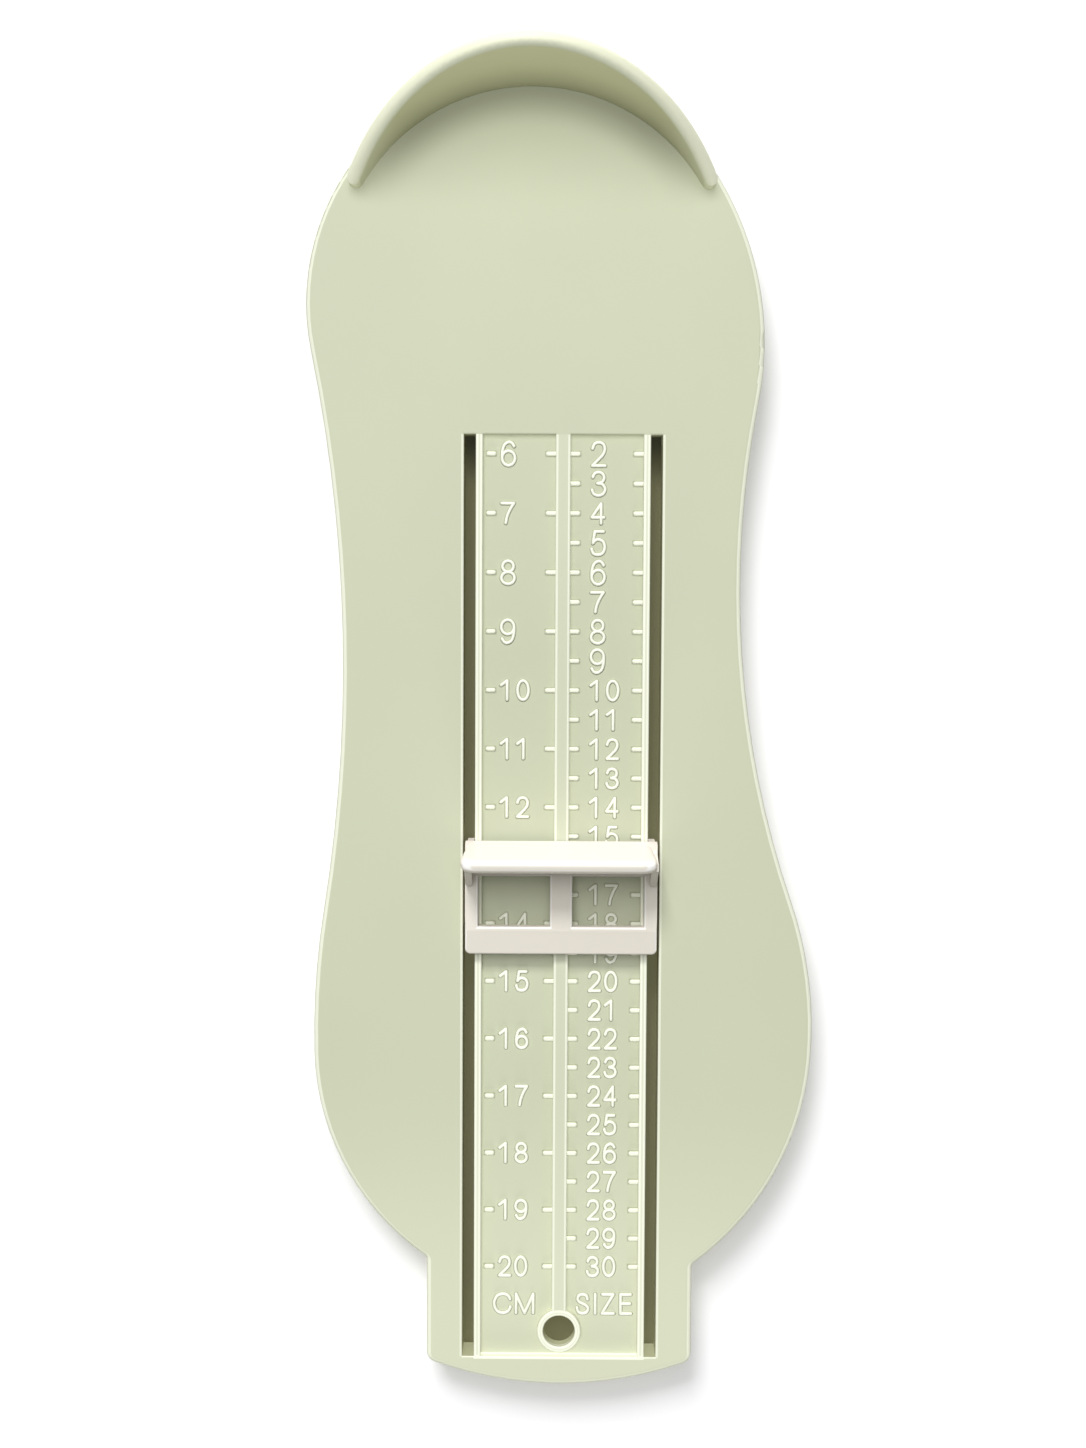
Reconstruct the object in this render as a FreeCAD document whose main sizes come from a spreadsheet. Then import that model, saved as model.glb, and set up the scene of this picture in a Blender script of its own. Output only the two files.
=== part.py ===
"""Foot measuring device: a moulded footplate with a heel cup and a sliding toe stop.

The document is drawn in ruler coordinates. Y = 0 is the zero of the ruler, just short of
the heel wall, and Y falls towards the toes, so a mark that reads 12 cm lies at
Y = -120. X runs across the foot with X = 0 midway between the two slots, and Z = 0 is
the table. At the end every body is placed so that the origin is the middle of the
footplate's underside.
"""

import FreeCAD, Part
import math
import os

import Sketcher
from FreeCAD import Vector

START, END, CENTRE = range(1, 4)        # Sketcher's numbers for a curve's points
X_AXIS = -START                         # and for a sketch's own X axis

SIZES = [
    # footplate, seen from the side
    ("plate_height", 8.0, "table to deck"),
    ("deck_thickness", 2.0, "wall of the deck"),
    ("skirt_thickness", 1.8, "wall of the rim that stands on the table"),
    ("edge_round", 1.0, "round of the deck's outer edge"),
    # heel cup
    ("heel_radius", 33.4, "nominal inside of the heel, which the outline is drawn round"),
    ("heel_across", -5.6, "heel centre, across from the slots' middle line"),
    ("wall_inset", 0.5, "how much smaller the heel wall's inside is"),
    ("wall_shift", 0.2, "its centre, across from the heel's"),
    ("wall_set_back", 0.68, "its farthest point, beyond the ruler's zero"),
    ("heel_wall", 2.4, "thickness of the heel wall"),
    ("heel_ledge", 1.1, "deck left outside the heel wall"),
    ("heel_rise", 30.2, "heel wall above the deck, at the back"),
    ("heel_end_rise", 5.4, "heel wall above the deck, at its two ends"),
    ("heel_half_angle", 59.6, "half of the heel wall's sweep, in degrees"),
    ("heel_section_count", 13, "upright sections that the heel wall is lofted through"),
    # outline: every lobe is an arc, tangent to the next
    ("left_lobe_extra", 2.1, "left side's arc, larger than the heel's"),
    ("left_lobe_angle", 36.4, "where it leaves the heel's arc, in degrees from straight up"),
    ("left_waist", 265.0, "hollow arc of the left waist"),
    ("left_ball", 44.7, "arc round the left ball"),
    ("left_ball_across", 2.4, "that arc's centre, across"),
    ("left_ball_station", 161.4, "that arc's centre, down"),
    ("left_upper_extra", 92.3, "arc above the left ball, larger than the ball's"),
    ("left_upper_angle", 1.3, "where it meets the ball's arc, in degrees below level"),
    ("right_lobe_extra", 15.6, "right side's arc, larger than the heel's"),
    ("right_lobe_angle", 57.7, "where it leaves the heel's arc, in degrees from straight up"),
    ("right_waist", 164.2, "hollow arc of the right waist"),
    ("right_ball", 49.4, "arc round the right ball"),
    ("right_ball_across", -6.3, "that arc's centre, across"),
    ("right_ball_station", 159.5, "that arc's centre, down"),
    ("right_upper_extra", 17.9, "arc above the right ball, larger than the ball's"),
    ("right_upper_angle", 4.2, "where it meets the ball's arc, in degrees below level"),
    # handle
    ("handle_half_width", 22.9, "half width of the squared handle"),
    ("handle_drop", 14.5, "handle's end below the lowest point of the left ball's arc"),
    ("handle_end_radius", 64.0, "arc of the handle's end"),
    ("handle_corner", 2.0, "round of the handle's two corners"),
    ("notch_round", 1.0, "hollow round where the handle leaves the ball"),
    ("inner_corner", 0.3, "smallest corner inside the skirt"),
    # scale strip and its slots
    ("slot_outer", 16.75, "middle line to the outer face of a slot"),
    ("slot_width", 2.0, "width of a slot"),
    ("slot_start", 56.8, "heel end of the slots and the recess"),
    ("slot_end_margin", 5.0, "toe end of the slots and the recess to the handle's end"),
    ("slot_edge_round", 0.3, "round of the slots', ribs' and recess's upper edges"),
    ("slot_wall", 1.4, "wall round the slots under the deck"),
    ("slot_wall_lift", 1.0, "gap between those walls and the table"),
    ("guide_rib", 1.2, "width of the ribs beside the slots"),
    ("centre_rib", 2.5, "width of the rib between the two scales"),
    ("recess_depth", 1.4, "how far the scale lies below the deck"),
    ("strip_thickness", 1.8, "wall under the scale"),
    ("ring_radius", 3.75, "outside of the ring round the hanging hole"),
    ("hole_radius", 2.75, "hanging hole"),
    ("hole_margin", 4.5, "hanging hole's middle to the toe end of the recess"),
    # marks of the two scales
    ("tick_width", 0.8, "width of a mark"),
    ("tick_length", 1.7, "length of a mark"),
    ("tick_rise", 0.5, "height of a mark"),
    ("tick_round", 0.3, "round of a mark's upper edges"),
    ("tick_gap", 0.55, "gap between the guide rib and the left marks"),
    ("first_mark", 60.0, "reading of the first mark"),
    ("centimetre_pitch", 10.0, "pitch of the length scale"),
    ("centimetre_mark_count", 15, "marks of the length scale"),
    ("size_pitch", 5.0, "pitch of the size scale"),
    ("size_mark_count", 29, "marks of the size scale"),
    # stiffening ribs under the deck
    ("rib_thickness", 1.2, "thickness of a stiffening rib"),
    ("rib_drop", 3.0, "height of a stiffening rib"),
    ("rib_pitch", 30.0, "distance between stiffening ribs"),
    ("rib_first_station", 65.0, "first rib across the sides"),
    ("rib_count", 5, "ribs on each side"),
    # toe stop
    ("reading", 125.6, "reading of the toe stop's face where it stands"),
    ("stop_half_width", 16.3, "half width of the toe stop"),
    ("stop_length", 19.2, "length of its frame"),
    ("frame_thickness", 2.2, "thickness of its frame"),
    ("running_gap", 0.2, "gap between the frame and the ribs, and under the strip"),
    ("toe_plate_rise", 12.0, "top of the toe plate above the deck"),
    ("toe_plate_thickness", 2.3, "thickness of the toe plate"),
    ("toe_plate_lean", 2.0, "how far its top leans back"),
    ("toe_plate_across", -0.4, "middle of the toe plate, across from the frame's"),
    ("toe_plate_half_foot", 15.7, "half width of the toe plate at the frame"),
    ("toe_plate_flare", 0.95, "how much its half width grows towards its top"),
    ("toe_plate_corner", 2.6, "round of its two top corners"),
    ("toe_plate_round", 1.0, "round of its top edge"),
    ("front_bar", 5.8, "frame in front of the windows"),
    ("rear_bar", 4.8, "frame behind the windows"),
    ("rear_bar_flat", 0.7, "stretch of it that is level with the rest of the frame"),
    ("rear_bar_drop", 0.5, "how far its rear end slopes down"),
    ("side_bar", 2.2, "frame beside the windows"),
    ("middle_bar", 3.8, "frame between the windows"),
    ("frame_corner", 0.9, "round of the frame's two rear corners"),
    ("frame_round", 0.35, "round of the frame's upper edges"),
    ("window_round", 0.45, "round of the windows' upper edges"),
    ("gusset_thickness", 1.2, "thickness of a gusset"),
    ("gusset_inset", 0.1, "gusset's distance from the frame's side"),
    ("gusset_rise", 7.0, "gusset's height on the toe plate"),
    ("gusset_reach", 4.7, "gusset's length on the frame"),
    ("gusset_round", 0.55, "round of its rear end"),
    # legs and keeper
    ("leg_inner_gap", 0.25, "gap between a leg and the inner face of its slot"),
    ("leg_outer_gap", 0.65, "gap between a leg and the outer face of its slot"),
    ("leg_set_back", 0.4, "leg behind the toe stop's face"),
    ("leg_length", 14.8, "length of a leg along its slot"),
    ("leg_lift", 1.2, "gap between the legs and the table"),
    ("keeper_thickness", 2.0, "thickness of the keeper"),
    ("keeper_length", 12.0, "length of the keeper"),
    ("keeper_tab", 7.0, "length of a keeper's tab"),
    ("fit_gap", 0.1, "gap between the keeper and the legs"),
]

document = FreeCAD.newDocument("foot_measure")
sheet = document.addObject("Spreadsheet::Sheet", "sizes")
for row, (alias, value, note) in enumerate(SIZES, start=1):
    sheet.set(f"A{row}", alias)
    sheet.set(f"B{row}", str(value))
    sheet.set(f"C{row}", note)
    sheet.setAlias(f"B{row}", alias)
document.recompute()


def size(alias):
    """Value of one cell of the sheet."""
    return float(sheet.get(alias))


# ---------------------------------------------------------------- sketch helpers

def new_body(name):
    body = document.addObject("PartDesign::Body", name)
    body.Label = name
    return body


def new_sketch(body, name, plane="XY_Plane", lift=None):
    """Sketch on one of the body's own planes, raised by the expression in lift."""
    sketch = body.newObject("Sketcher::SketchObject", name)
    support = next(f for f in body.Origin.OriginFeatures if f.Role == plane)
    sketch.AttachmentSupport = (support, [""])
    sketch.MapMode = "FlatFace"
    if lift:
        sketch.setExpression("AttachmentOffset.Base.z", lift)
    return sketch


def bind(sketch, constraint, expression):
    """Add a constraint whose value is an expression of the sheet's cells."""
    index = sketch.addConstraint(constraint)
    sketch.renameConstraint(index, f"value_{index}")
    sketch.setExpression(f"Constraints.value_{index}", expression)


def pin_point(sketch, geometry, point, across=None, along=None):
    """Tie a point's two coordinates to expressions."""
    vertex = sketch.getPoint(geometry, point)
    if across is not None:
        bind(sketch, Sketcher.Constraint("DistanceX", X_AXIS, START, geometry, point, vertex.x),
             across)
    if along is not None:
        bind(sketch, Sketcher.Constraint("DistanceY", X_AXIS, START, geometry, point, vertex.y),
             along)


def value_of(expression):
    """Number that an expression of cells gives, to place new geometry where it belongs."""
    probe = document.addObject("App::FeaturePython", "probe")
    probe.addProperty("App::PropertyFloat", "Number")
    probe.setExpression("Number", expression)
    document.recompute([probe])
    number = probe.Number
    document.removeObject(probe.Name)
    return number


def add_polygon(sketch, corners):
    """Closed polygon whose corners are pairs of expressions."""
    points = [Vector(value_of(a), value_of(b), 0) for a, b in corners]
    lines = []
    for first, second in zip(points, points[1:] + points[:1]):
        lines.append(sketch.addGeometry(Part.LineSegment(first, second), False))
    for line, following in zip(lines, lines[1:] + lines[:1]):
        sketch.addConstraint(Sketcher.Constraint("Coincident", line, END, following, START))
    for line, (across, along) in zip(lines, corners):
        pin_point(sketch, line, START, across, along)
    return lines


def add_rectangle(sketch, left, right, low, high):
    """Upright rectangle whose four sides are expressions."""
    return add_polygon(sketch, [(left, low), (right, low), (right, high), (left, high)])


def add_circle(sketch, across, along, radius):
    centre = Vector(value_of(across), value_of(along), 0)
    circle = sketch.addGeometry(Part.Circle(centre, Vector(0, 0, 1), value_of(radius)), False)
    pin_point(sketch, circle, CENTRE, across, along)
    bind(sketch, Sketcher.Constraint("Radius", circle, value_of(radius)), radius)


def settle(feature):
    """Recompute, and stop if the feature didn't come out as a valid solid."""
    document.recompute()
    if "Invalid" in feature.State or "Error" in feature.State:
        raise RuntimeError(f"{feature.Name}: {feature.getStatusString()}")
    if feature.Shape.isNull() or not feature.Shape.isValid():
        raise RuntimeError(f"{feature.Name} has no valid shape")
    return feature


def pad(body, name, sketch, length, both_ways=False):
    feature = body.newObject("PartDesign::Pad", name)
    feature.Profile = sketch
    feature.setExpression("Length", length)
    feature.Midplane = both_ways
    return settle(feature)


def pocket(body, name, sketch, length=None, both_ways=False, upwards=False):
    """Cut that has to take something away, to a depth or through everything."""
    before = body.Shape.Volume
    feature = body.newObject("PartDesign::Pocket", name)
    feature.Profile = sketch
    if length is None:
        feature.Type = "ThroughAll"
    else:
        feature.setExpression("Length", length)
    feature.Midplane = both_ways
    feature.Reversed = upwards
    settle(feature)
    if body.Shape.Volume >= before:
        raise RuntimeError(f"{name} takes nothing away")
    return feature


def fillet(body, name, radius, wanted):
    """Round the edges of the body's last feature for which wanted(edge) is true."""
    tip = body.Tip
    names = [f"Edge{i}" for i, edge in enumerate(tip.Shape.Edges, start=1) if wanted(edge)]
    if not names:
        raise RuntimeError(f"{name} finds no edge")
    feature = body.newObject("PartDesign::Fillet", name)
    feature.Base = (tip, names)
    feature.setExpression("Radius", radius)
    return settle(feature)


def near(first, second, slack=0.01):
    return abs(first - second) < slack


def within(value, low, high, slack=0.01):
    return low - slack < value < high + slack


def lies_across(edge, across):
    """True for an edge at one distance from the middle line, on either side."""
    ends = [vertex.X for vertex in edge.Vertexes]
    return near(min(ends), max(ends)) and near(abs(ends[0]), across)


def runs_along(edge):
    """True for a straight edge along Y."""
    ends = [vertex.Point for vertex in edge.Vertexes]
    return edge.Curve.TypeId == "Part::GeomLine" and near(ends[0].x, ends[-1].x)


def rises(edge):
    """True for an upright edge."""
    ends = [vertex.Point for vertex in edge.Vertexes]
    return near(ends[0].x, ends[-1].x) and near(ends[0].y, ends[-1].y)


# ---------------------------------------------------------------- outline

def side_name(side):
    return "left" if side < 0 else "right"


HEEL_OUTLINE = "(sizes.heel_radius + sizes.heel_wall + sizes.heel_ledge)"
HANDLE_END = "(sizes.left_ball_station + sizes.left_ball + sizes.handle_drop)"
SLOT_END = f"({HANDLE_END} - sizes.slot_end_margin)"
HOLE_STATION = f"({SLOT_END} - sizes.hole_margin)"


def lobe_circles(side, inset):
    """Centre, radius and radius expression of each arc of one side, from heel to ball.

    A hollow arc has a negative radius. The inset moves the whole outline inwards.
    """
    word = side_name(side)
    heel = Vector(size("heel_across"), -size("heel_radius"), 0)
    heel_radius = value_of(HEEL_OUTLINE)
    extra = size(f"{word}_lobe_extra")
    turn = math.radians(size(f"{word}_lobe_angle"))
    lobe = heel - Vector(side * math.sin(turn), math.cos(turn), 0) * extra
    lobe_radius = heel_radius + extra
    ball = Vector(size(f"{word}_ball_across"), -size(f"{word}_ball_station"), 0)
    ball_radius = size(f"{word}_ball")
    extra = size(f"{word}_upper_extra")
    turn = math.radians(size(f"{word}_upper_angle"))
    upper = ball + Vector(-side * math.cos(turn), math.sin(turn), 0) * extra
    upper_radius = ball_radius + extra
    # the waist touches the side's arc and the arc above the ball from outside
    waist_radius = size(f"{word}_waist")
    from_lobe = waist_radius + lobe_radius
    from_upper = waist_radius + upper_radius
    span = upper - lobe
    along = (span.Length ** 2 + from_lobe ** 2 - from_upper ** 2) / (2 * span.Length)
    aside = math.sqrt(from_lobe ** 2 - along ** 2)
    unit = Vector(span).normalize()
    normal = Vector(-unit.y, unit.x, 0) * side
    waist = lobe + unit * along + normal * aside
    return [
        (heel, heel_radius - inset, HEEL_OUTLINE),
        (lobe, lobe_radius - inset, f"{HEEL_OUTLINE} + sizes.{word}_lobe_extra"),
        (waist, -waist_radius - inset, f"sizes.{word}_waist"),
        (upper, upper_radius - inset, f"sizes.{word}_ball + sizes.{word}_upper_extra"),
        (ball, ball_radius - inset, f"sizes.{word}_ball"),
    ]


def touching_point(first, second):
    """Point where two neighbouring arcs of the outline meet."""
    (centre_a, radius_a, _), (centre_b, radius_b, _) = first, second
    if radius_a * radius_b < 0:
        return centre_a + (centre_b - centre_a).normalize() * abs(radius_a)
    larger, smaller = (second, first) if radius_b > radius_a else (first, second)
    return larger[0] + (smaller[0] - larger[0]).normalize() * larger[1]


def edge_across(side, along, inset=0.0):
    """Where the outline of one side lies across at a given Y."""
    lobes = lobe_circles(side, inset)
    joints = [touching_point(a, b).y for a, b in zip(lobes, lobes[1:])]
    index = sum(1 for joint in joints if along < joint)
    centre, radius, _ = lobes[index]
    reach = math.sqrt(radius ** 2 - (along - centre.y) ** 2)
    return centre.x + side * reach * math.copysign(1, radius)


def handle_shape(inset):
    """Centres and radii of the handle's notches, corner and end arc."""
    half = size("handle_half_width") - inset
    notch_radius = size("notch_round") + inset
    notches = {}
    for side in (-1, 1):
        centre, radius, _ = lobe_circles(side, inset)[-1]
        across = side * (half + notch_radius)
        drop = math.sqrt((radius + notch_radius) ** 2 - (across - centre.x) ** 2)
        notches[side] = Vector(across, centre.y - drop, 0)
    end_radius = size("handle_end_radius") - inset
    end_centre = Vector(0, size("handle_end_radius") - value_of(HANDLE_END), 0)
    corner_radius = max(size("handle_corner") - inset, size("inner_corner"))
    corner_across = half - corner_radius
    drop = math.sqrt((end_radius - corner_radius) ** 2 - corner_across ** 2)
    corner = Vector(corner_across, end_centre.y - drop, 0)
    return half, notches, notch_radius, end_centre, end_radius, corner, corner_radius


def arc_between(centre, radius, first, second):
    """Counter-clockwise arc round a centre from one point to another."""
    angles = [math.atan2(p.y - centre.y, p.x - centre.x) for p in (first, second)]
    if angles[1] < angles[0]:
        angles[1] += 2 * math.pi
    circle = Part.Circle(centre, Vector(0, 0, 1), abs(radius))
    return Part.ArcOfCircle(circle, *angles)


def add_outline(sketch, inset=None):
    """The footplate's outline as one loop of tangent arcs, optionally set inwards."""
    inward = value_of(inset) if inset else 0.0
    less = f" - ({inset})" if inset else ""
    more = f" + ({inset})" if inset else ""
    left, right = lobe_circles(-1, inward), lobe_circles(1, inward)
    (half, notches, notch_radius,
     end_centre, end_radius, corner, corner_radius) = handle_shape(inward)
    # the loop runs counter-clockwise: heel, left side, handle, right side
    top = arc_between(left[0][0], left[0][1],
                      touching_point(right[0], right[1]), touching_point(left[0], left[1]))
    heel_arc = sketch.addGeometry(top, False)
    pin_point(sketch, heel_arc, CENTRE, "sizes.heel_across", "-sizes.heel_radius")
    bind(sketch, Sketcher.Constraint("Radius", heel_arc, left[0][1]), left[0][2] + less)
    last_arcs = {}
    for side, lobes in ((-1, left), (1, right)):
        previous, previous_point = heel_arc, END if side < 0 else START
        notch = (notches[side], -notch_radius, "sizes.notch_round")
        stops = [touching_point(a, b) for a, b in zip(lobes, lobes[1:] + [notch])]
        stops.append(Vector(side * half, notches[side].y, 0))
        lobes = lobes + [notch]
        for number in range(1, len(lobes)):
            centre, radius, expression = lobes[number]
            begin, finish = stops[number - 1], stops[number]
            counter_clockwise = (side < 0) == (radius > 0)
            if not counter_clockwise:
                begin, finish = finish, begin
            arc = sketch.addGeometry(arc_between(centre, radius, begin, finish), False)
            near_point, far_point = (START, END) if counter_clockwise else (END, START)
            sketch.addConstraint(
                Sketcher.Constraint("Tangent", previous, previous_point, arc, near_point))
            change = less if radius > 0 else more
            bind(sketch, Sketcher.Constraint("Radius", arc, abs(radius)), expression + change)
            previous, previous_point = arc, far_point
            word = side_name(side)
            if number == 1:
                pin_point(sketch, arc, CENTRE, None,
                          f"-sizes.heel_radius - sizes.{word}_lobe_extra"
                          f" * cos(sizes.{word}_lobe_angle * 1deg)")
            elif number == 3:
                pin_point(sketch, arc, CENTRE, None,
                          f"-sizes.{word}_ball_station + sizes.{word}_upper_extra"
                          f" * sin(sizes.{word}_upper_angle * 1deg)")
            elif number == 4:
                pin_point(sketch, arc, CENTRE,
                          f"sizes.{word}_ball_across", f"-sizes.{word}_ball_station")
        last_arcs[side] = (previous, previous_point)
    # handle: a line, a corner, the end arc, a corner and a line
    corner_left = Vector(-corner.x, corner.y, 0)
    toward_corner = (corner - end_centre).normalize() * end_radius
    meet_right = end_centre + toward_corner
    meet_left = end_centre + Vector(-toward_corner.x, toward_corner.y, 0)
    line_left = sketch.addGeometry(
        Part.LineSegment(Vector(-half, notches[-1].y, 0), Vector(-half, corner.y, 0)), False)
    arc_left = sketch.addGeometry(
        arc_between(corner_left, corner_radius, Vector(-half, corner.y, 0), meet_left), False)
    end_arc = sketch.addGeometry(
        arc_between(end_centre, end_radius, meet_left, meet_right), False)
    arc_right = sketch.addGeometry(
        arc_between(corner, corner_radius, meet_right, Vector(half, corner.y, 0)), False)
    line_right = sketch.addGeometry(
        Part.LineSegment(Vector(half, corner.y, 0), Vector(half, notches[1].y, 0)), False)
    notch_left, notch_left_end = last_arcs[-1]
    notch_right, notch_right_end = last_arcs[1]
    sketch.addConstraint([
        Sketcher.Constraint("Tangent", notch_left, notch_left_end, line_left, START),
        Sketcher.Constraint("Tangent", line_left, END, arc_left, START),
        Sketcher.Constraint("Tangent", arc_left, END, end_arc, START),
        Sketcher.Constraint("Tangent", end_arc, END, arc_right, START),
        Sketcher.Constraint("Tangent", arc_right, END, line_right, START),
        Sketcher.Constraint("Tangent", line_right, END, notch_right, notch_right_end),
        Sketcher.Constraint("Vertical", line_left),
        Sketcher.Constraint("Vertical", line_right),
        Sketcher.Constraint("Equal", arc_left, arc_right),
    ])
    bind(sketch, Sketcher.Constraint("Radius", arc_left, corner_radius),
         f"max(sizes.handle_corner{less}; sizes.inner_corner)")
    bind(sketch, Sketcher.Constraint("Radius", end_arc, end_radius),
         "sizes.handle_end_radius" + less)
    pin_point(sketch, end_arc, CENTRE, "0", f"sizes.handle_end_radius - {HANDLE_END}")
    pin_point(sketch, line_left, END, f"-(sizes.handle_half_width{less})")
    pin_point(sketch, line_right, START, f"sizes.handle_half_width{less}")


# ---------------------------------------------------------------- footplate

SLOT_INNER = "(sizes.slot_outer - sizes.slot_width)"
PANEL_OUTER = f"({SLOT_INNER} - sizes.guide_rib)"
RIB_HALF = "(sizes.centre_rib / 2)"
SCALE_LEVEL = "(sizes.plate_height - sizes.recess_depth)"
STRIP_UNDERSIDE = f"({SCALE_LEVEL} - sizes.strip_thickness)"
DECK_UNDERSIDE = "(sizes.plate_height - sizes.deck_thickness)"


def add_deck(body):
    """The plate: its outline, its rounded edge and the hollow underneath."""
    outline = new_sketch(body, "outline")
    add_outline(outline)
    pad(body, "plate", outline, "sizes.plate_height")
    top = size("plate_height")
    fillet(body, "rounded_edge", "sizes.edge_round",
           lambda edge: all(near(v.Z, top) for v in edge.Vertexes))
    hollow = new_sketch(body, "hollow_outline")
    add_outline(hollow, "sizes.skirt_thickness")
    pocket(body, "hollow", hollow, DECK_UNDERSIDE, upwards=True)
    slot_box = new_sketch(body, "slot_box_outline", lift="sizes.slot_wall_lift")
    add_rectangle(slot_box, "-sizes.slot_outer - sizes.slot_wall",
                  "sizes.slot_outer + sizes.slot_wall",
                  f"-{SLOT_END} - sizes.slot_wall",
                  "-sizes.slot_start + sizes.slot_wall")
    pad(body, "slot_box", slot_box, f"{DECK_UNDERSIDE} - sizes.slot_wall_lift")


def heel_direction(sketch, angle):
    """Turn a sketch on XZ_Plane so that its x axis points from the heel centre outwards.

    The angle is counted from +Y towards +X.
    """
    sketch.AttachmentOffset = FreeCAD.Placement(
        Vector(), FreeCAD.Rotation(Vector(0, 1, 0), 90 - angle))


def rim_height(cosine):
    """Rim above the table: it falls with the cosine, like a slanted cut."""
    share = f"(1 - ({cosine})) / (1 - cos(sizes.heel_half_angle * 1deg))"
    return (f"(sizes.plate_height + sizes.heel_rise"
            f" - (sizes.heel_rise - sizes.heel_end_rise) * {share})")


WALL_FOOT = "(sizes.plate_height - sizes.deck_thickness / 2)"
WALL_HALF = "(sizes.heel_wall / 2)"
WALL_INSIDE = "(sizes.heel_radius - sizes.wall_inset)"
WALL_MIDDLE = f"({WALL_INSIDE} + {WALL_HALF})"
NOSE_TURNS = range(0, 81, 16)       # degrees round the wall's end where a section stands


def add_wall_section(body, name, angle, share=1.0):
    """Upright section of the heel wall with a round top, at a share of its thickness."""
    section = new_sketch(body, name, plane="XZ_Plane")
    heel_direction(section, angle)
    section.setExpression("AttachmentOffset.Base.x", "sizes.heel_across + sizes.wall_shift")
    section.setExpression("AttachmentOffset.Base.z", f"{WALL_INSIDE} - sizes.wall_set_back")
    half = f"{WALL_HALF} * {share}"
    top = rim_height(f"cos({angle} * 1deg)") + f" - {half}"
    inner, outer = value_of(f"{WALL_MIDDLE} - {half}"), value_of(f"{WALL_MIDDLE} + {half}")
    low, high = value_of(WALL_FOOT), value_of(top)
    corners = [Vector(inner, high, 0), Vector(inner, low, 0),
               Vector(outer, low, 0), Vector(outer, high, 0)]
    lines = []
    for first, second in zip(corners, corners[1:]):
        lines.append(section.addGeometry(Part.LineSegment(first, second), False))
    crown = Vector((inner + outer) / 2, high, 0)
    arc = section.addGeometry(
        arc_between(crown, (outer - inner) / 2, corners[-1], corners[0]), False)
    section.addConstraint([
        Sketcher.Constraint("Coincident", lines[0], END, lines[1], START),
        Sketcher.Constraint("Coincident", lines[1], END, lines[2], START),
        Sketcher.Constraint("Tangent", lines[2], END, arc, START),
        Sketcher.Constraint("Tangent", arc, END, lines[0], START),
        Sketcher.Constraint("Horizontal", lines[1]),
        Sketcher.Constraint("Vertical", lines[2]),
    ])
    bind(section, Sketcher.Constraint("Radius", arc, (outer - inner) / 2), half)
    pin_point(section, arc, CENTRE, WALL_MIDDLE, top)
    pin_point(section, lines[1], START, None, WALL_FOOT)
    return section


def add_wall_loft(body, name, sections):
    document.recompute()
    loft = body.newObject("PartDesign::AdditiveLoft", name)
    loft.Profile = sections[0]
    loft.Sections = sections[1:]
    settle(loft)


def add_heel_wall(body):
    """The wall round the heel, lofted through upright sections, with round ends.

    Past its half angle the wall narrows like half of a circle seen from above, and its
    rim goes on falling.
    """
    count = int(size("heel_section_count"))
    half_angle = size("heel_half_angle")
    sections = []
    for number in range(count):
        angle = half_angle * (2 * number / (count - 1) - 1)
        sections.append(add_wall_section(body, f"heel_section_{number}", angle))
    add_wall_loft(body, "heel_wall", sections)
    nose_angle = math.degrees(value_of(WALL_HALF) / value_of(WALL_MIDDLE))
    for side in (-1, 1):
        name = f"heel_nose_{side_name(side)}"
        sections = []
        for number, turn in enumerate(NOSE_TURNS):
            angle = side * (half_angle + nose_angle * math.sin(math.radians(turn)))
            share = math.cos(math.radians(turn))
            sections.append(add_wall_section(body, f"{name}_section_{number}", angle, share))
        add_wall_loft(body, name, sections)


def add_scale_strip(body):
    """Two through slots, the recess between them and the hanging hole."""
    under = new_sketch(body, "strip_underside")
    add_rectangle(under, f"-{SLOT_INNER}", SLOT_INNER, f"-{SLOT_END}", "-sizes.slot_start")
    pocket(body, "under_strip", under, STRIP_UNDERSIDE, upwards=True)
    slots = new_sketch(body, "slot_outlines")
    add_rectangle(slots, "-sizes.slot_outer", f"-{SLOT_INNER}",
                  f"-{SLOT_END}", "-sizes.slot_start")
    add_rectangle(slots, SLOT_INNER, "sizes.slot_outer", f"-{SLOT_END}", "-sizes.slot_start")
    pocket(body, "slots", slots, both_ways=True)
    recess = new_sketch(body, "recess_outline", lift="sizes.plate_height")
    add_recess_outline(recess)
    pocket(body, "recess", recess, "sizes.recess_depth")
    hole = new_sketch(body, "hole_outline")
    add_circle(hole, "0", f"-{HOLE_STATION}", "sizes.hole_radius")
    pocket(body, "hanging_hole", hole, both_ways=True)
    top, reach = size("plate_height"), size("slot_outer")
    low, high = -value_of(SLOT_END), -size("slot_start")
    fillet(body, "soft_strip_edges", "sizes.slot_edge_round",
           lambda edge: all(near(v.Z, top) and within(v.X, -reach, reach)
                            and within(v.Y, low, high) for v in edge.Vertexes))


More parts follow.
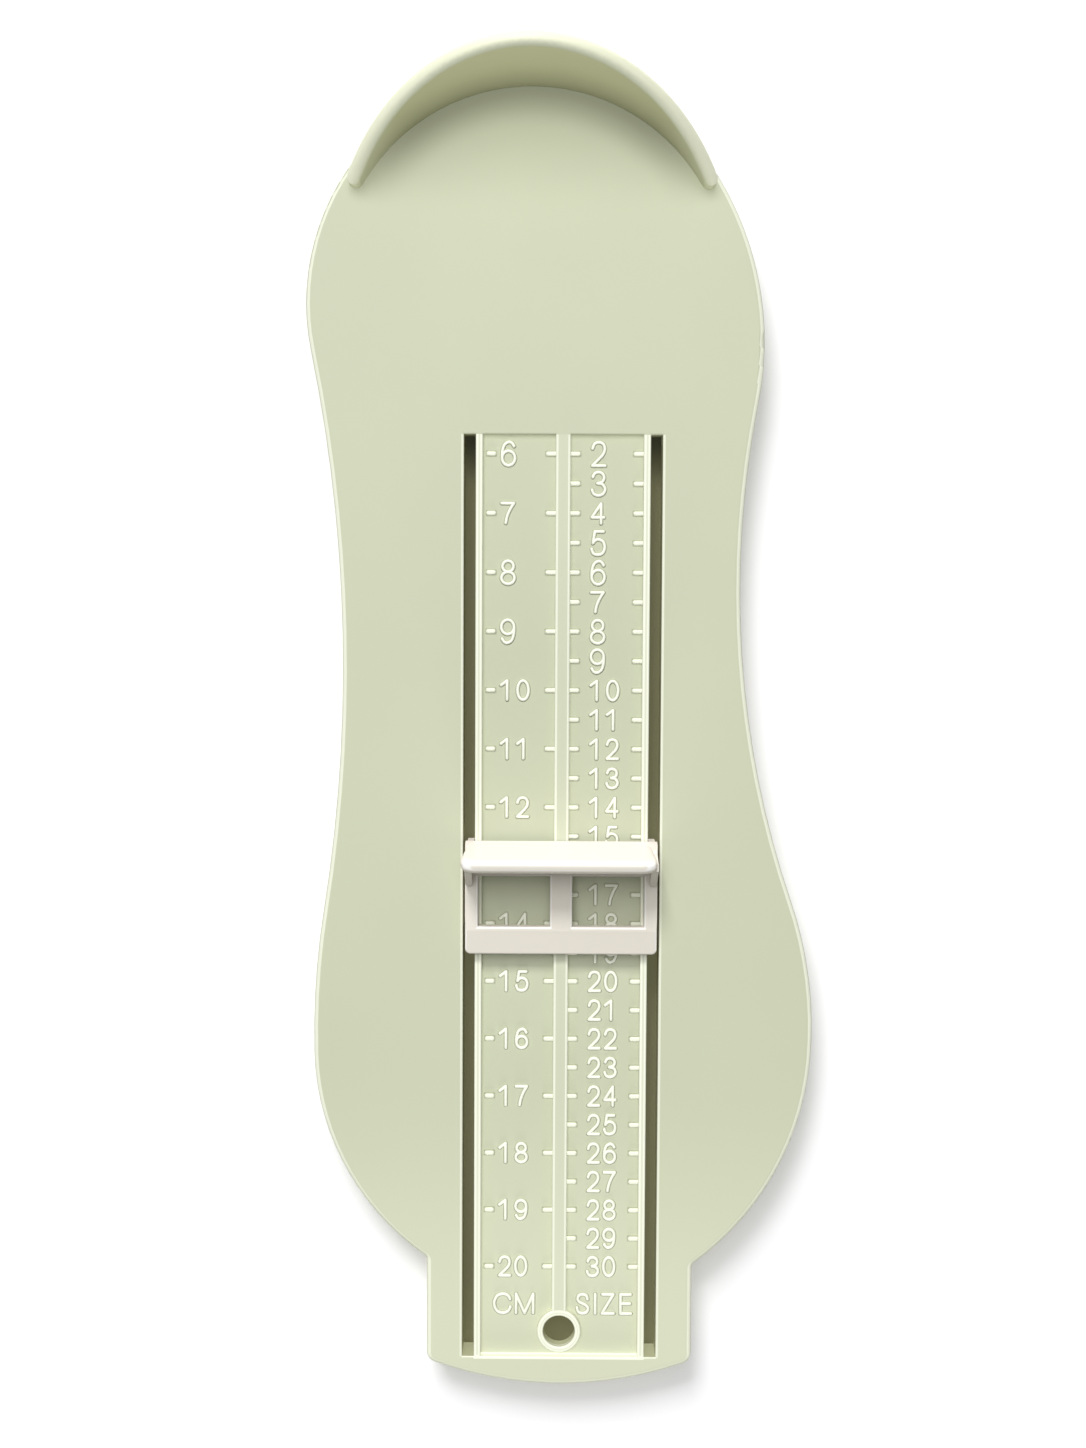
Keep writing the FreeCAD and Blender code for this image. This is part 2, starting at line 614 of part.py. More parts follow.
def add_recess_outline(sketch):
    """The sunk panels: a rectangle less the centre rib and the ring that ends it."""
    outer, rib = value_of(PANEL_OUTER), value_of(RIB_HALF)
    start, end = -size("slot_start"), -value_of(SLOT_END)
    hole = Vector(0, -value_of(HOLE_STATION), 0)
    ring = size("ring_radius")
    meet = hole.y + math.sqrt(ring ** 2 - rib ** 2)
    corners = [Vector(-rib, meet, 0), Vector(-rib, start, 0), Vector(-outer, start, 0),
               Vector(-outer, end, 0), Vector(outer, end, 0), Vector(outer, start, 0),
               Vector(rib, start, 0), Vector(rib, meet, 0)]
    lines = []
    for first, second in zip(corners, corners[1:]):
        lines.append(sketch.addGeometry(Part.LineSegment(first, second), False))
    arc = sketch.addGeometry(arc_between(hole, ring, corners[0], corners[-1]), False)
    for line, following in zip(lines, lines[1:]):
        sketch.addConstraint(Sketcher.Constraint("Coincident", line, END, following, START))
    sketch.addConstraint(Sketcher.Constraint("Coincident", lines[-1], END, arc, END))
    sketch.addConstraint(Sketcher.Constraint("Coincident", lines[0], START, arc, START))
    pin_point(sketch, arc, CENTRE, "0", f"-{HOLE_STATION}")
    bind(sketch, Sketcher.Constraint("Radius", arc, ring), "sizes.ring_radius")
    places = [(f"-{RIB_HALF}", "-sizes.slot_start"), (f"-{PANEL_OUTER}", "-sizes.slot_start"),
              (f"-{PANEL_OUTER}", f"-{SLOT_END}"), (PANEL_OUTER, f"-{SLOT_END}"),
              (PANEL_OUTER, "-sizes.slot_start"), (RIB_HALF, "-sizes.slot_start")]
    for line, (across, along) in zip(lines, places):
        pin_point(sketch, line, END, across, along)
    pin_point(sketch, lines[0], START, f"-{RIB_HALF}")
    pin_point(sketch, lines[-1], END, RIB_HALF)


def add_marks(body, name, pitch, count, tips):
    """One row of raised marks, repeated down the scale.

    Each tip is the mark's free end and its root, as expressions across, and whether the
    mark stands free of the ribs.
    """
    row = new_sketch(body, f"{name}_row", lift=SCALE_LEVEL)
    for free_end, root, stands_free in tips:
        add_mark(row, free_end, root, stands_free)
    feature = pad(body, f"{name}_first", row, "sizes.tick_rise")
    pattern = body.newObject("PartDesign::LinearPattern", name)
    pattern.Originals = [feature]
    pattern.Direction = (row, ["V_Axis"])
    pattern.Reversed = True
    pattern.setExpression("Length", f"{pitch} * ({count} - 1)")
    pattern.setExpression("Occurrences", count)
    body.Tip = pattern
    document.recompute()


def add_mark(sketch, free_end, root, stands_free):
    """A short bar at the first reading with a round free end.

    Its root is round too if it stands free, and otherwise ends at a rib.
    """
    reading = -size("first_mark")
    half = size("tick_width") / 2
    tip, foot = value_of(free_end), value_of(root)
    away = math.copysign(1, tip - foot)
    inwards, outwards = ("-", "+") if away > 0 else ("+", "-")
    low, high = reading - away * half, reading + away * half
    tip_centre = Vector(tip - away * half, reading, 0)
    foot_line = foot + away * half if stands_free else foot
    tip_low, tip_high = Vector(tip_centre.x, low, 0), Vector(tip_centre.x, high, 0)
    foot_low, foot_high = Vector(foot_line, low, 0), Vector(foot_line, high, 0)
    round_end = sketch.addGeometry(arc_between(tip_centre, half, tip_low, tip_high), False)
    upper = sketch.addGeometry(Part.LineSegment(tip_high, foot_high), False)
    if stands_free:
        back_shape = arc_between(Vector(foot_line, reading, 0), half, foot_high, foot_low)
    else:
        back_shape = Part.LineSegment(foot_high, foot_low)
    back = sketch.addGeometry(back_shape, False)
    lower = sketch.addGeometry(Part.LineSegment(foot_low, tip_low), False)
    joint = "Tangent" if stands_free else "Coincident"
    sketch.addConstraint([
        Sketcher.Constraint("Tangent", round_end, END, upper, START),
        Sketcher.Constraint(joint, upper, END, back, START),
        Sketcher.Constraint(joint, back, END, lower, START),
        Sketcher.Constraint("Tangent", lower, END, round_end, START),
    ])
    pin_point(sketch, round_end, CENTRE, f"{free_end} {inwards} sizes.tick_width / 2",
              "-sizes.first_mark")
    bind(sketch, Sketcher.Constraint("Radius", round_end, half), "sizes.tick_width / 2")
    if stands_free:
        pin_point(sketch, back, CENTRE, f"{root} {outwards} sizes.tick_width / 2")
    else:
        sketch.addConstraint(Sketcher.Constraint("Vertical", back))
        pin_point(sketch, back, START, root)


def add_stiffening_ribs(body):
    """Cross ribs under the deck, from the skirt to the slots' walls."""
    ribs = new_sketch(body, "stiffening_rib_outlines", lift=f"{DECK_UNDERSIDE} - sizes.rib_drop")
    box = "(sizes.slot_outer + sizes.slot_wall / 2)"
    for number in range(int(size("rib_count"))):
        station = f"(sizes.rib_first_station + {number} * sizes.rib_pitch)"
        low = f"-{station} - sizes.rib_thickness / 2"
        high = f"-{station} + sizes.rib_thickness / 2"
        for side in (-1, 1):
            reach = abs(edge_across(side, -value_of(station), size("skirt_thickness") / 2))
            if side < 0:
                add_rectangle(ribs, f"-{reach}", f"-{box}", low, high)
            else:
                add_rectangle(ribs, box, f"{reach}", low, high)
    pad(body, "stiffening_ribs", ribs, "sizes.rib_drop")


def build_footplate():
    body = new_body("footplate")
    add_deck(body)
    add_heel_wall(body)
    add_scale_strip(body)
    add_stiffening_ribs(body)
    length_marks = [
        (f"-{PANEL_OUTER} + sizes.tick_gap + sizes.tick_length",
         f"-{PANEL_OUTER} + sizes.tick_gap", True),
        (f"-{RIB_HALF} - sizes.tick_length", f"-{RIB_HALF}", False),
    ]
    add_marks(body, "length_marks", "sizes.centimetre_pitch", "sizes.centimetre_mark_count",
              length_marks)
    size_marks = [
        (f"{RIB_HALF} + sizes.tick_length", RIB_HALF, False),
        (f"{PANEL_OUTER} - sizes.tick_length", PANEL_OUTER, False),
    ]
    add_marks(body, "size_marks", "sizes.size_pitch", "sizes.size_mark_count", size_marks)
    mark_top = value_of(f"{SCALE_LEVEL} + sizes.tick_rise")
    fillet(body, "soft_marks", "sizes.tick_round",
           lambda edge: all(near(v.Z, mark_top) for v in edge.Vertexes)
           and not runs_along(edge))
    return body


# ---------------------------------------------------------------- toe stop

FACE = "(-sizes.reading)"
FRAME_LOW = "(sizes.plate_height + sizes.running_gap)"
FRAME_TOP = f"({FRAME_LOW} + sizes.frame_thickness)"
PLATE_TOP = "(sizes.plate_height + sizes.toe_plate_rise)"
LEG_OUTER = "(sizes.slot_outer - sizes.leg_outer_gap)"
LEG_INNER = f"({SLOT_INNER} + sizes.leg_inner_gap)"
KEEPER_TOP = f"({STRIP_UNDERSIDE} - sizes.running_gap)"
KEEPER_LOW = f"({KEEPER_TOP} - sizes.keeper_thickness)"
LEG_FRONT = f"({FACE} - sizes.leg_set_back)"
LEAN_SLOPE = f"(sizes.toe_plate_lean / ({PLATE_TOP} - {FRAME_LOW}))"
FRAME_REAR = f"({FACE} - sizes.stop_length)"
TOE_PLATE_BACK = (f"({FACE} - {LEAN_SLOPE} * sizes.frame_thickness"
                  " - sizes.toe_plate_thickness)")
LEG_MIDDLE = f"({LEG_FRONT} - sizes.leg_length / 2)"


def add_stop_frame(body):
    """Frame whose rear end slopes down, with two windows."""
    profile = new_sketch(body, "frame_profile", plane="YZ_Plane")
    add_polygon(profile, [
        (FACE, FRAME_LOW),
        (f"{FACE} - {LEAN_SLOPE} * sizes.frame_thickness", FRAME_TOP),
        (f"{FRAME_REAR} + sizes.rear_bar - sizes.rear_bar_flat", FRAME_TOP),
        (FRAME_REAR, f"{FRAME_TOP} - sizes.rear_bar_drop"),
        (FRAME_REAR, FRAME_LOW),
    ])
    pad(body, "frame", profile, "2 * sizes.stop_half_width", both_ways=True)
    windows = new_sketch(body, "window_outlines")
    inner = "(sizes.middle_bar / 2)"
    outer = "(sizes.stop_half_width - sizes.side_bar)"
    rear = f"{FRAME_REAR} + sizes.rear_bar"
    front = f"{FACE} - sizes.front_bar"
    add_rectangle(windows, f"-{outer}", f"-{inner}", rear, front)
    add_rectangle(windows, inner, outer, rear, front)
    pocket(body, "windows", windows, both_ways=True)
    half, back = size("stop_half_width"), value_of(FRAME_REAR)
    fillet(body, "frame_corners", "sizes.frame_corner",
           lambda edge: lies_across(edge, half) and rises(edge)
           and near(edge.Vertexes[0].Y, back))
    level = value_of(FRAME_TOP)
    low, high, reach = value_of(rear), value_of(front), value_of(outer)
    fillet(body, "window_edges", "sizes.window_round",
           lambda edge: all(near(v.Z, level) and within(v.Y, low, high)
                            and within(v.X, -reach, reach) for v in edge.Vertexes))
    fillet(body, "frame_edges", "sizes.frame_round",
           lambda edge: any(near(v.Y, back) for v in edge.Vertexes)
           and all(v.Z > level - 2 * size("rear_bar_drop") for v in edge.Vertexes))


def add_toe_plate(body):
    """Leaning toe plate: a flared outline, padded backwards from its face."""
    outline = new_sketch(body, "toe_plate_outline", plane="XZ_Plane")
    lean = math.degrees(math.atan(value_of(LEAN_SLOPE)))
    outline.AttachmentOffset = FreeCAD.Placement(
        Vector(), FreeCAD.Rotation(Vector(1, 0, 0), lean))
    outline.setExpression("AttachmentOffset.Base.x", "sizes.toe_plate_across")
    outline.setExpression("AttachmentOffset.Base.y", FRAME_LOW)
    outline.setExpression("AttachmentOffset.Base.z", f"-{FACE}")
    foot = "sizes.toe_plate_half_foot"
    head = "(sizes.toe_plate_half_foot + sizes.toe_plate_flare)"
    low = "sizes.frame_thickness / 2"
    high = f"({PLATE_TOP} - {FRAME_LOW}) * sqrt(1 + {LEAN_SLOPE} ^ 2)"
    add_polygon(outline, [(f"-{foot}", low), (foot, low), (head, high), (f"-{head}", high)])
    pad(body, "toe_plate", outline, "sizes.toe_plate_thickness")
    top, reach = value_of(PLATE_TOP), value_of(head)
    lowest = top - size("toe_plate_thickness")
    fillet(body, "toe_plate_corners", "sizes.toe_plate_corner",
           lambda edge: all(v.Z > lowest for v in edge.Vertexes)
           and near(edge.Vertexes[0].X, edge.Vertexes[-1].X))
    fillet(body, "toe_plate_edges", "sizes.toe_plate_round",
           lambda edge: all(v.Z > lowest for v in edge.Vertexes)
           and edge.Length > reach)


def add_gussets(body):
    """A small gusset behind each end of the toe plate."""
    outer = "sizes.stop_half_width - sizes.gusset_inset"
    side_view = new_sketch(body, "gusset_profile", plane="YZ_Plane",
                           lift=f"{outer} - sizes.gusset_thickness")
    inside = f"{FACE} - sizes.toe_plate_thickness / 2"
    high = f"({FRAME_TOP} + sizes.gusset_rise)"
    root = f"{FRAME_TOP} - sizes.frame_thickness / 2"
    add_polygon(side_view, [
        (inside, root),
        (f"{inside} - {LEAN_SLOPE} * ({high} - {FRAME_LOW})", high),
        (f"{FACE} - {LEAN_SLOPE} * ({high} - {FRAME_LOW}) - sizes.toe_plate_thickness", high),
        (f"{TOE_PLATE_BACK} - sizes.gusset_reach", f"{FRAME_TOP} + sizes.gusset_round"),
        (f"{TOE_PLATE_BACK} - sizes.gusset_reach", root),
    ])
    feature = pad(body, "gusset", side_view, "sizes.gusset_thickness")
    mirror = body.newObject("PartDesign::Mirrored", "gussets")
    mirror.Originals = [feature]
    plane = next(f for f in body.Origin.OriginFeatures if f.Role == "YZ_Plane")
    mirror.MirrorPlane = (plane, [""])
    body.Tip = mirror
    document.recompute()
    rear = value_of(f"{TOE_PLATE_BACK} - sizes.gusset_reach")
    fillet(body, "gusset_rounds", "sizes.gusset_round",
           lambda edge: all(near(v.Y, rear) for v in edge.Vertexes) and rises(edge))


def add_legs(body):
    """A leg in each slot, with a window for the keeper's tab."""
    legs = new_sketch(body, "leg_outlines", lift="sizes.leg_lift")
    rear = f"{LEG_FRONT} - sizes.leg_length"
    add_rectangle(legs, f"-{LEG_OUTER}", f"-{LEG_INNER}", rear, LEG_FRONT)
    add_rectangle(legs, LEG_INNER, LEG_OUTER, rear, LEG_FRONT)
    pad(body, "legs", legs, f"{FRAME_LOW} + sizes.frame_thickness / 2 - sizes.leg_lift")
    tab_windows = new_sketch(body, "tab_windows", plane="YZ_Plane")
    half = "(sizes.keeper_tab / 2 + sizes.fit_gap)"
    add_rectangle(tab_windows, f"{LEG_MIDDLE} - {half}", f"{LEG_MIDDLE} + {half}",
                  f"{KEEPER_LOW} - sizes.fit_gap", f"{KEEPER_TOP} + sizes.fit_gap")
    pocket(body, "leg_windows", tab_windows, both_ways=True)


def build_toe_stop():
    body = new_body("toe_stop")
    add_stop_frame(body)
    add_toe_plate(body)
    add_gussets(body)
    add_legs(body)
    return body


# ---------------------------------------------------------------- keeper

def build_keeper():
    """Flat keeper under the strip, whose tabs snap into the legs."""
    body = new_body("slide_keeper")
    plan = new_sketch(body, "keeper_plan", lift=KEEPER_LOW)
    shoulder = f"({LEG_INNER} - sizes.fit_gap)"
    tip = f"({LEG_OUTER} - sizes.fit_gap)"
    front = f"{LEG_MIDDLE} + sizes.keeper_length / 2"
    rear = f"{LEG_MIDDLE} - sizes.keeper_length / 2"
    tab_front = f"{LEG_MIDDLE} + sizes.keeper_tab / 2"
    tab_rear = f"{LEG_MIDDLE} - sizes.keeper_tab / 2"
    right = [(shoulder, rear), (shoulder, tab_rear), (tip, tab_rear), (tip, tab_front),
             (shoulder, tab_front), (shoulder, front)]
    left = [(f"-{across}", along) for across, along in reversed(right)]
    add_polygon(plan, right + left)
    pad(body, "keeper_plate", plan, "sizes.keeper_thickness")
    return body


# ---------------------------------------------------------------- assembly

bodies = [build_footplate(), build_toe_stop(), build_keeper()]
document.recompute()

outline_box = document.getObject("outline").Shape.BoundBox
to_origin = Vector(-outline_box.Center.x, -outline_box.Center.y, 0)
for body in bodies:
    body.Placement = FreeCAD.Placement(to_origin, FreeCAD.Rotation())
document.recompute()

for item in document.Objects:
    if "Invalid" in item.State or "Error" in item.State:
        raise RuntimeError(f"{item.Label} failed: {item.State}")
for body in bodies:
    shape = body.Shape
    if shape.isNull() or not shape.isValid() or len(shape.Solids) != 1:
        raise RuntimeError(f"{body.Label} isn't one valid solid")

os.makedirs("parts", exist_ok=True)
for body in bodies:
    body.Shape.exportStep(os.path.join("parts", f"{body.Label}.step"))
    box = body.Shape.optimalBoundingBox(False, False)
    print(f"{body.Label}: {body.Shape.Volume:.1f} mm3, "
          f"X {box.XMin:.2f}..{box.XMax:.2f}, Y {box.YMin:.2f}..{box.YMax:.2f}, "
          f"Z {box.ZMin:.2f}..{box.ZMax:.2f}")
print(f"ruler zero lies at Y {to_origin.y:.3f}, the slots' middle line at X {to_origin.x:.3f}")
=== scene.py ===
import math

import bmesh
import bpy
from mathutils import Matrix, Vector


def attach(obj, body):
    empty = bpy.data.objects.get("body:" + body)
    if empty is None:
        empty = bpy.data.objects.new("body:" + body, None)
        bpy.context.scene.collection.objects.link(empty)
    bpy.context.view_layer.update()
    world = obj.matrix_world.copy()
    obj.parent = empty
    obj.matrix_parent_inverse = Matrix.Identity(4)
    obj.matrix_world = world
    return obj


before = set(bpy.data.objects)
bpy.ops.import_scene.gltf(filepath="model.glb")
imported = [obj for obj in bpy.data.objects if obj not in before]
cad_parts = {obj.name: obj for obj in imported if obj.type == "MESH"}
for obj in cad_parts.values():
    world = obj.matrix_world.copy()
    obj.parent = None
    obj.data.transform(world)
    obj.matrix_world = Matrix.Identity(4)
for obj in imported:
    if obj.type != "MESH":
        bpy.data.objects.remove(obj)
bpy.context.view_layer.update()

MM = 0.001

# The ruler on the footplate, in millimetres. Stations count from the ruler's zero.
RULER_ZERO = 108.55
RULER_MIDDLE = 0.103
PANEL_LEVEL = 6.6
PANEL_HALF = 13.55
SLOT_INNER, SLOT_OUTER = 14.75, 16.75
SLOT_START, SLOT_END = 56.8, 215.6
CENTRE_RIB_HALF = 1.25
HOLE_STATION = 211.1
HOLE_RADIUS, RING_RADIUS = 2.75, 3.75
MARK_LOW, MARK_HIGH = 6.8, 7.3
RIB_LOW, RIB_HIGH = 7.4, 8.2
MARK_HALF_WIDTH = 0.4
FIRST_MARK, LAST_MARK = 60.0, 200.0
LENGTH_PITCH, SIZE_PITCH = 10.0, 5.0
FIRST_LENGTH, LAST_LENGTH = 6, 20
FIRST_SIZE, LAST_SIZE = 2, 30
# Left side, right side and pitch of each column of marks
MARK_COLUMNS = ((-13.0, -11.3, LENGTH_PITCH), (-2.95, -1.25, LENGTH_PITCH),
                (1.25, 2.95, SIZE_PITCH), (11.85, 13.55, SIZE_PITCH))

# The heel wall: middle and inner radius of its round, and the deck that it stands on
HEEL_CENTRE = (-5.297, 76.33)
HEEL_INSIDE = 32.9
DECK_LEVEL = 8.0

# The ridge that draws figures and letters, in millimetres. Its round ends stop just short
# of a point, and strokes whose ends touch are closed.
RIDGE_HALF_WIDTH = 0.265
RIDGE_HEIGHT = 0.4
RIDGE_ROOT = 0.1
# The skirt is a thin flange round each stroke's foot, painted dark as a stand-in for the
# stroke's contact shadow
SKIRT_WIDTH = 0.12
SKIRT_RISE = 0.03
RIDGE_FACETS = 8
CROWN_POWER = 0.7
CAP_STEPS = 4
CAP_END = 0.98
LOOP_STEPS = 24
SWEEP_STEPS = 6
TOUCHING = 1e-6

# Figures and letters, in millimetres: where their columns start, and the outer width and
# height of one
LENGTH_COLUMN = -10.65
SIZE_COLUMN = 4.6
SINGLE_SIZE = (2.75, 4.45)
LOW_FIGURE_SIZE = (2.6, 3.85)
LOW_FIGURES = "47"
PAIR_SIZE = (2.4, 3.8)
PAIR_PITCH = 2.8
LETTER_HEIGHT = 3.9
LETTER_STATION = 206.6
# Left side of each word, widths of its letters and the gap between them
WORDS = {"CM": (-11.5, (3.35, 3.5), 0.45),
         "SIZE": (2.87, (2.5, 0.52, 2.55, 2.35), 0.66)}

# Finishes: how the cloudy colour, the grain and the light painted by facing come in, with
# painted shade on upright walls and painted highlights on upper edges. A turn is how far a
# surface faces up (1), down (-1), to the heel (1) or to the toes (-1).
CLOUD_BAND = (0.35, 0.7)
CLOUD_DETAIL, GRAIN_DETAIL = 3.0, 2.0
GRAIN_ON_ROUGHNESS = 0.12
BUMP_STRENGTH, BUMP_DEPTH = 0.08, 0.02
WALL_TURN = (0.05, 0.6)
TOE_TURN = (-0.6, -0.1)
# Painted edge highlights, by turn and by height in millimetres: where they start, are full,
# start to fade and end. Turns over 1 and heights past the part switch that side off.
OUTLINE_EDGE_HIGHLIGHTS = ((0.05, 0.3, 2.0, 3.0), (7.35, 7.65, 7.93, 7.985))
SLIDER_EDGE_HIGHLIGHTS = ((0.35, 0.7, 0.9, 0.99), (-2.0, -1.0, 40.0, 41.0))

# Highlights and shade painted by place on the ruler, in millimetres, with how strong each is
BAND_SOFTNESS = 0.05
EDGE_LINE = 0.42
TOE_WALL = 0.25
OUTER_EDGE_SHARE = 0.65
CENTRE_RIB_SHARE, CENTRE_EDGE_SHARE = 0.3, 0.8
SURROUND_SHADE = 0.9
PANEL_SLACK = 0.1
MARK_MARGIN = 1.0

# Light and shade painted by place on the heel wall and the toe end, with how strong each is:
# a painted highlight on the rim and the wall's ends, painted shade at the wall's foot and
# painted light on the toe end. Rim heights and the foot's ceiling count up from the deck,
# and the wall's near and far sides from the heel's inner radius. Outwards and backwards are
# shares of the way from the heel's middle.
RIM_OUTWARDS, RIM_TURN, RIM_HEIGHTS = (-1.05, 0.1), (0.1, 0.3), (0.5, 2.0)
RIM_STRENGTH = 0.85
TOE_FADE = (-55.0, -100.0)
TOE_STRENGTH = 0.22
WALL_BACK_TURN = (0.5, 0.8)
WALL_NEAR, WALL_FAR = (-1.6, -1.0), (1.0, 1.6)
END_BACKWARDS = (0.55, 0.80)
END_STRENGTH = 0.32
FOOT_BACKWARDS = (0.40, 0.85)
FOOT_REACH = 7.0
FOOT_CEILING = (0.5, 1.0)
FOOT_ON_WALL = (4.0, 28.0)
DECK_SHADE, WALL_SHADE = 0.6, 0.55

# Camera and lights, in metres, with the sensor and the lens in millimetres
SENSOR_HEIGHT, LENS = 24.0, 37.22
CAMERA_PLACE = (-0.00060, 0.03084, 0.38814)
CAMERA_TURN = (-0.07327, 0.00697, 0.00467)
CAMERA_NEAR = 0.01
LIGHT_DISTANCE = 8.0
ROOM_LIGHT, ROOM_WHITE = 0.2, 0.93

# Floor: half its size in metres, its finish, and the painted shade below the ruler, deepest
# towards the heel end of the slots, in millimetres
FLOOR_HALF = 1.5
FLOOR_ROUGHNESS, FLOOR_SHINE = 0.9, 0.1
FLOOR_WHITE = (0.92, 0.917, 0.934)
FLOOR_SHADE = (0.238, 0.232, 0.133)
FLOOR_DEEP = (0.065, 0.065, 0.04)
SHADE_HALF, SHADE_MARGIN, SHADE_SOFTNESS = 18.0, 1.0, 0.5
DEEP_FADE = (42.0, 52.0)


# ---------------------------------------------------------------- figures and letters

def loop(across, up, half_width, half_height):
    """Ellipse that closes on itself."""
    points = []
    for step in range(LOOP_STEPS + 1):
        turn = math.radians(360 * step / LOOP_STEPS)
        points.append((across + half_width * math.cos(turn),
                       up + half_height * math.sin(turn)))
    return points


def sweep(*knots):
    """Smooth curve through a few points."""
    padded = [knots[0], *knots, knots[-1]]
    points = []
    for a, b, c, d in zip(padded, padded[1:], padded[2:], padded[3:]):
        for step in range(SWEEP_STEPS):
            t = step / SWEEP_STEPS
            points.append(tuple(
                0.5 * (2 * b[i] + (c[i] - a[i]) * t
                       + (2 * a[i] - 5 * b[i] + 4 * c[i] - d[i]) * t ** 2
                       + (3 * b[i] - a[i] - 3 * c[i] + d[i]) * t ** 3) for i in (0, 1)))
    return points + [knots[-1]]


# Strokes of each figure, in a box that is 1 wide and 1 high
STROKES = {
    "0": [loop(0.5, 0.5, 0.5, 0.5)],
    "1": [[(0.0, 0.76), (0.55, 1.0)], [(0.55, 1.0), (0.55, 0.0)]],
    "2": [sweep((0.03, 0.73), (0.18, 0.93), (0.5, 1.0), (0.83, 0.93), (0.96, 0.72),
                (0.82, 0.48), (0.4, 0.22), (0.02, 0.0)),
          [(0.02, 0.0), (1.0, 0.0)]],
    "3": [sweep((0.06, 0.78), (0.2, 0.94), (0.5, 1.0), (0.8, 0.93), (0.92, 0.76),
                (0.78, 0.58), (0.42, 0.52)),
          sweep((0.42, 0.52), (0.8, 0.47), (1.0, 0.27), (0.84, 0.07), (0.5, 0.0),
                (0.16, 0.06), (0.0, 0.24))],
    "4": [[(0.76, 0.0), (0.76, 1.0)], [(0.76, 1.0), (0.0, 0.3)], [(0.0, 0.3), (1.0, 0.3)]],
    "5": [[(0.9, 1.0), (0.24, 1.0)], [(0.24, 1.0), (0.1, 0.5)],
          sweep((0.1, 0.5), (0.28, 0.62), (0.55, 0.66), (0.88, 0.56), (1.0, 0.33),
                (0.85, 0.08), (0.48, 0.0), (0.14, 0.06), (0.0, 0.25))],
    "6": [loop(0.51, 0.31, 0.49, 0.31),
          sweep((0.93, 0.82), (0.78, 0.95), (0.53, 1.0), (0.2, 0.88), (0.04, 0.6),
                (0.02, 0.31))],
    "7": [[(0.0, 1.0), (1.0, 1.0)],
          sweep((1.0, 1.0), (0.68, 0.68), (0.44, 0.32), (0.34, 0.0))],
    "8": [loop(0.5, 0.76, 0.42, 0.24), loop(0.5, 0.26, 0.5, 0.26)],
    "9": [loop(0.49, 0.69, 0.49, 0.31),
          sweep((0.07, 0.18), (0.22, 0.05), (0.47, 0.0), (0.8, 0.12), (0.96, 0.4),
                (0.98, 0.69))],
    "C": [sweep((0.98, 0.72), (0.84, 0.92), (0.53, 1.0), (0.17, 0.88), (0.0, 0.5),
                (0.17, 0.12), (0.53, 0.0), (0.86, 0.1), (1.0, 0.32))],
    "M": [[(0.0, 0.0), (0.0, 1.0)], [(0.0, 1.0), (0.5, 0.0)], [(0.5, 0.0), (1.0, 1.0)],
          [(1.0, 1.0), (1.0, 0.0)]],
    "S": [sweep((0.93, 0.74), (0.82, 0.93), (0.5, 1.0), (0.17, 0.93), (0.07, 0.74),
                (0.26, 0.58), (0.72, 0.45), (0.98, 0.27), (0.84, 0.07), (0.5, 0.0),
                (0.14, 0.07), (0.0, 0.3))],
    "I": [[(0.0, 0.0), (0.0, 1.0)]],
    "Z": [[(0.03, 1.0), (0.97, 1.0)], [(0.97, 1.0), (0.0, 0.0)], [(0.0, 0.0), (1.0, 0.0)]],
    "E": [[(0.0, 0.0), (0.0, 1.0)], [(0.0, 1.0), (0.96, 1.0)], [(0.0, 0.52), (0.9, 0.52)],
          [(0.0, 0.0), (1.0, 0.0)]],
}


def ridge_section(mesh, centre, side, share, skirt_centre):
    """One cross-section of a ridge: a squarish crown on a thin skirt rooted in the panel,
    the skirt carrying painted shade.
    """
    ring = []
    for facet in range(RIDGE_FACETS + 1):
        turn = math.pi * facet / RIDGE_FACETS
        across = math.copysign(abs(math.cos(turn)) ** CROWN_POWER, math.cos(turn))
        offset = side * (RIDGE_HALF_WIDTH * share * across)
        rise = max(RIDGE_HEIGHT * share * abs(math.sin(turn)) ** CROWN_POWER, SKIRT_RISE)
        ring.append(mesh.verts.new((centre + offset + Vector((0, 0, rise))) * MM))
    reach = side * ((RIDGE_HALF_WIDTH + SKIRT_WIDTH) * share)
    for sign, level in ((-1, SKIRT_RISE / 2), (-1, -RIDGE_ROOT),
                        (1, -RIDGE_ROOT), (1, SKIRT_RISE / 2)):
        corner = skirt_centre + reach * sign + Vector((0, 0, level))
        ring.append(mesh.verts.new(corner * MM))
    return ring


def add_ridge(mesh, path):
    """A raised stroke with round ends along a path of points in millimetres."""
    closed = (path[0] - path[-1]).length < TOUCHING
    points = path[:-1] if closed else path
    last = len(points) - 1
    rings = []
    for index, point in enumerate(points):
        before = points[index - 1] if closed or index > 0 else point
        after = points[(index + 1) % len(points)] if closed or index < last else point
        along = (after - before).normalized()
        side = along.cross(Vector((0, 0, 1)))
        rings.append(ridge_section(mesh, point, side, 1.0, point))
    if closed:
        rings.append(rings[0])
    else:
        for end, inner in ((0, 1), (-1, -2)):
            outwards = (points[end] - points[inner]).normalized()
            side = outwards.cross(Vector((0, 0, 1))) * (-1 if end == 0 else 1)
            for step in range(1, CAP_STEPS + 1):
                turn = math.pi / 2 * min(step / CAP_STEPS, CAP_END)
                reach = outwards * math.sin(turn)
                ring = ridge_section(mesh, points[end] + reach * RIDGE_HALF_WIDTH, side,
                                     math.cos(turn),
                                     points[end] + reach * (RIDGE_HALF_WIDTH + SKIRT_WIDTH))
                rings.insert(0 if end == 0 else len(rings), ring)
            mesh.faces.new(rings[0] if end == 0 else reversed(rings[-1]))
    for ring, following in zip(rings, rings[1:]):
        for index in range(len(ring)):
            other = index - 1
            mesh.faces.new((ring[other], ring[index], following[index], following[other]))


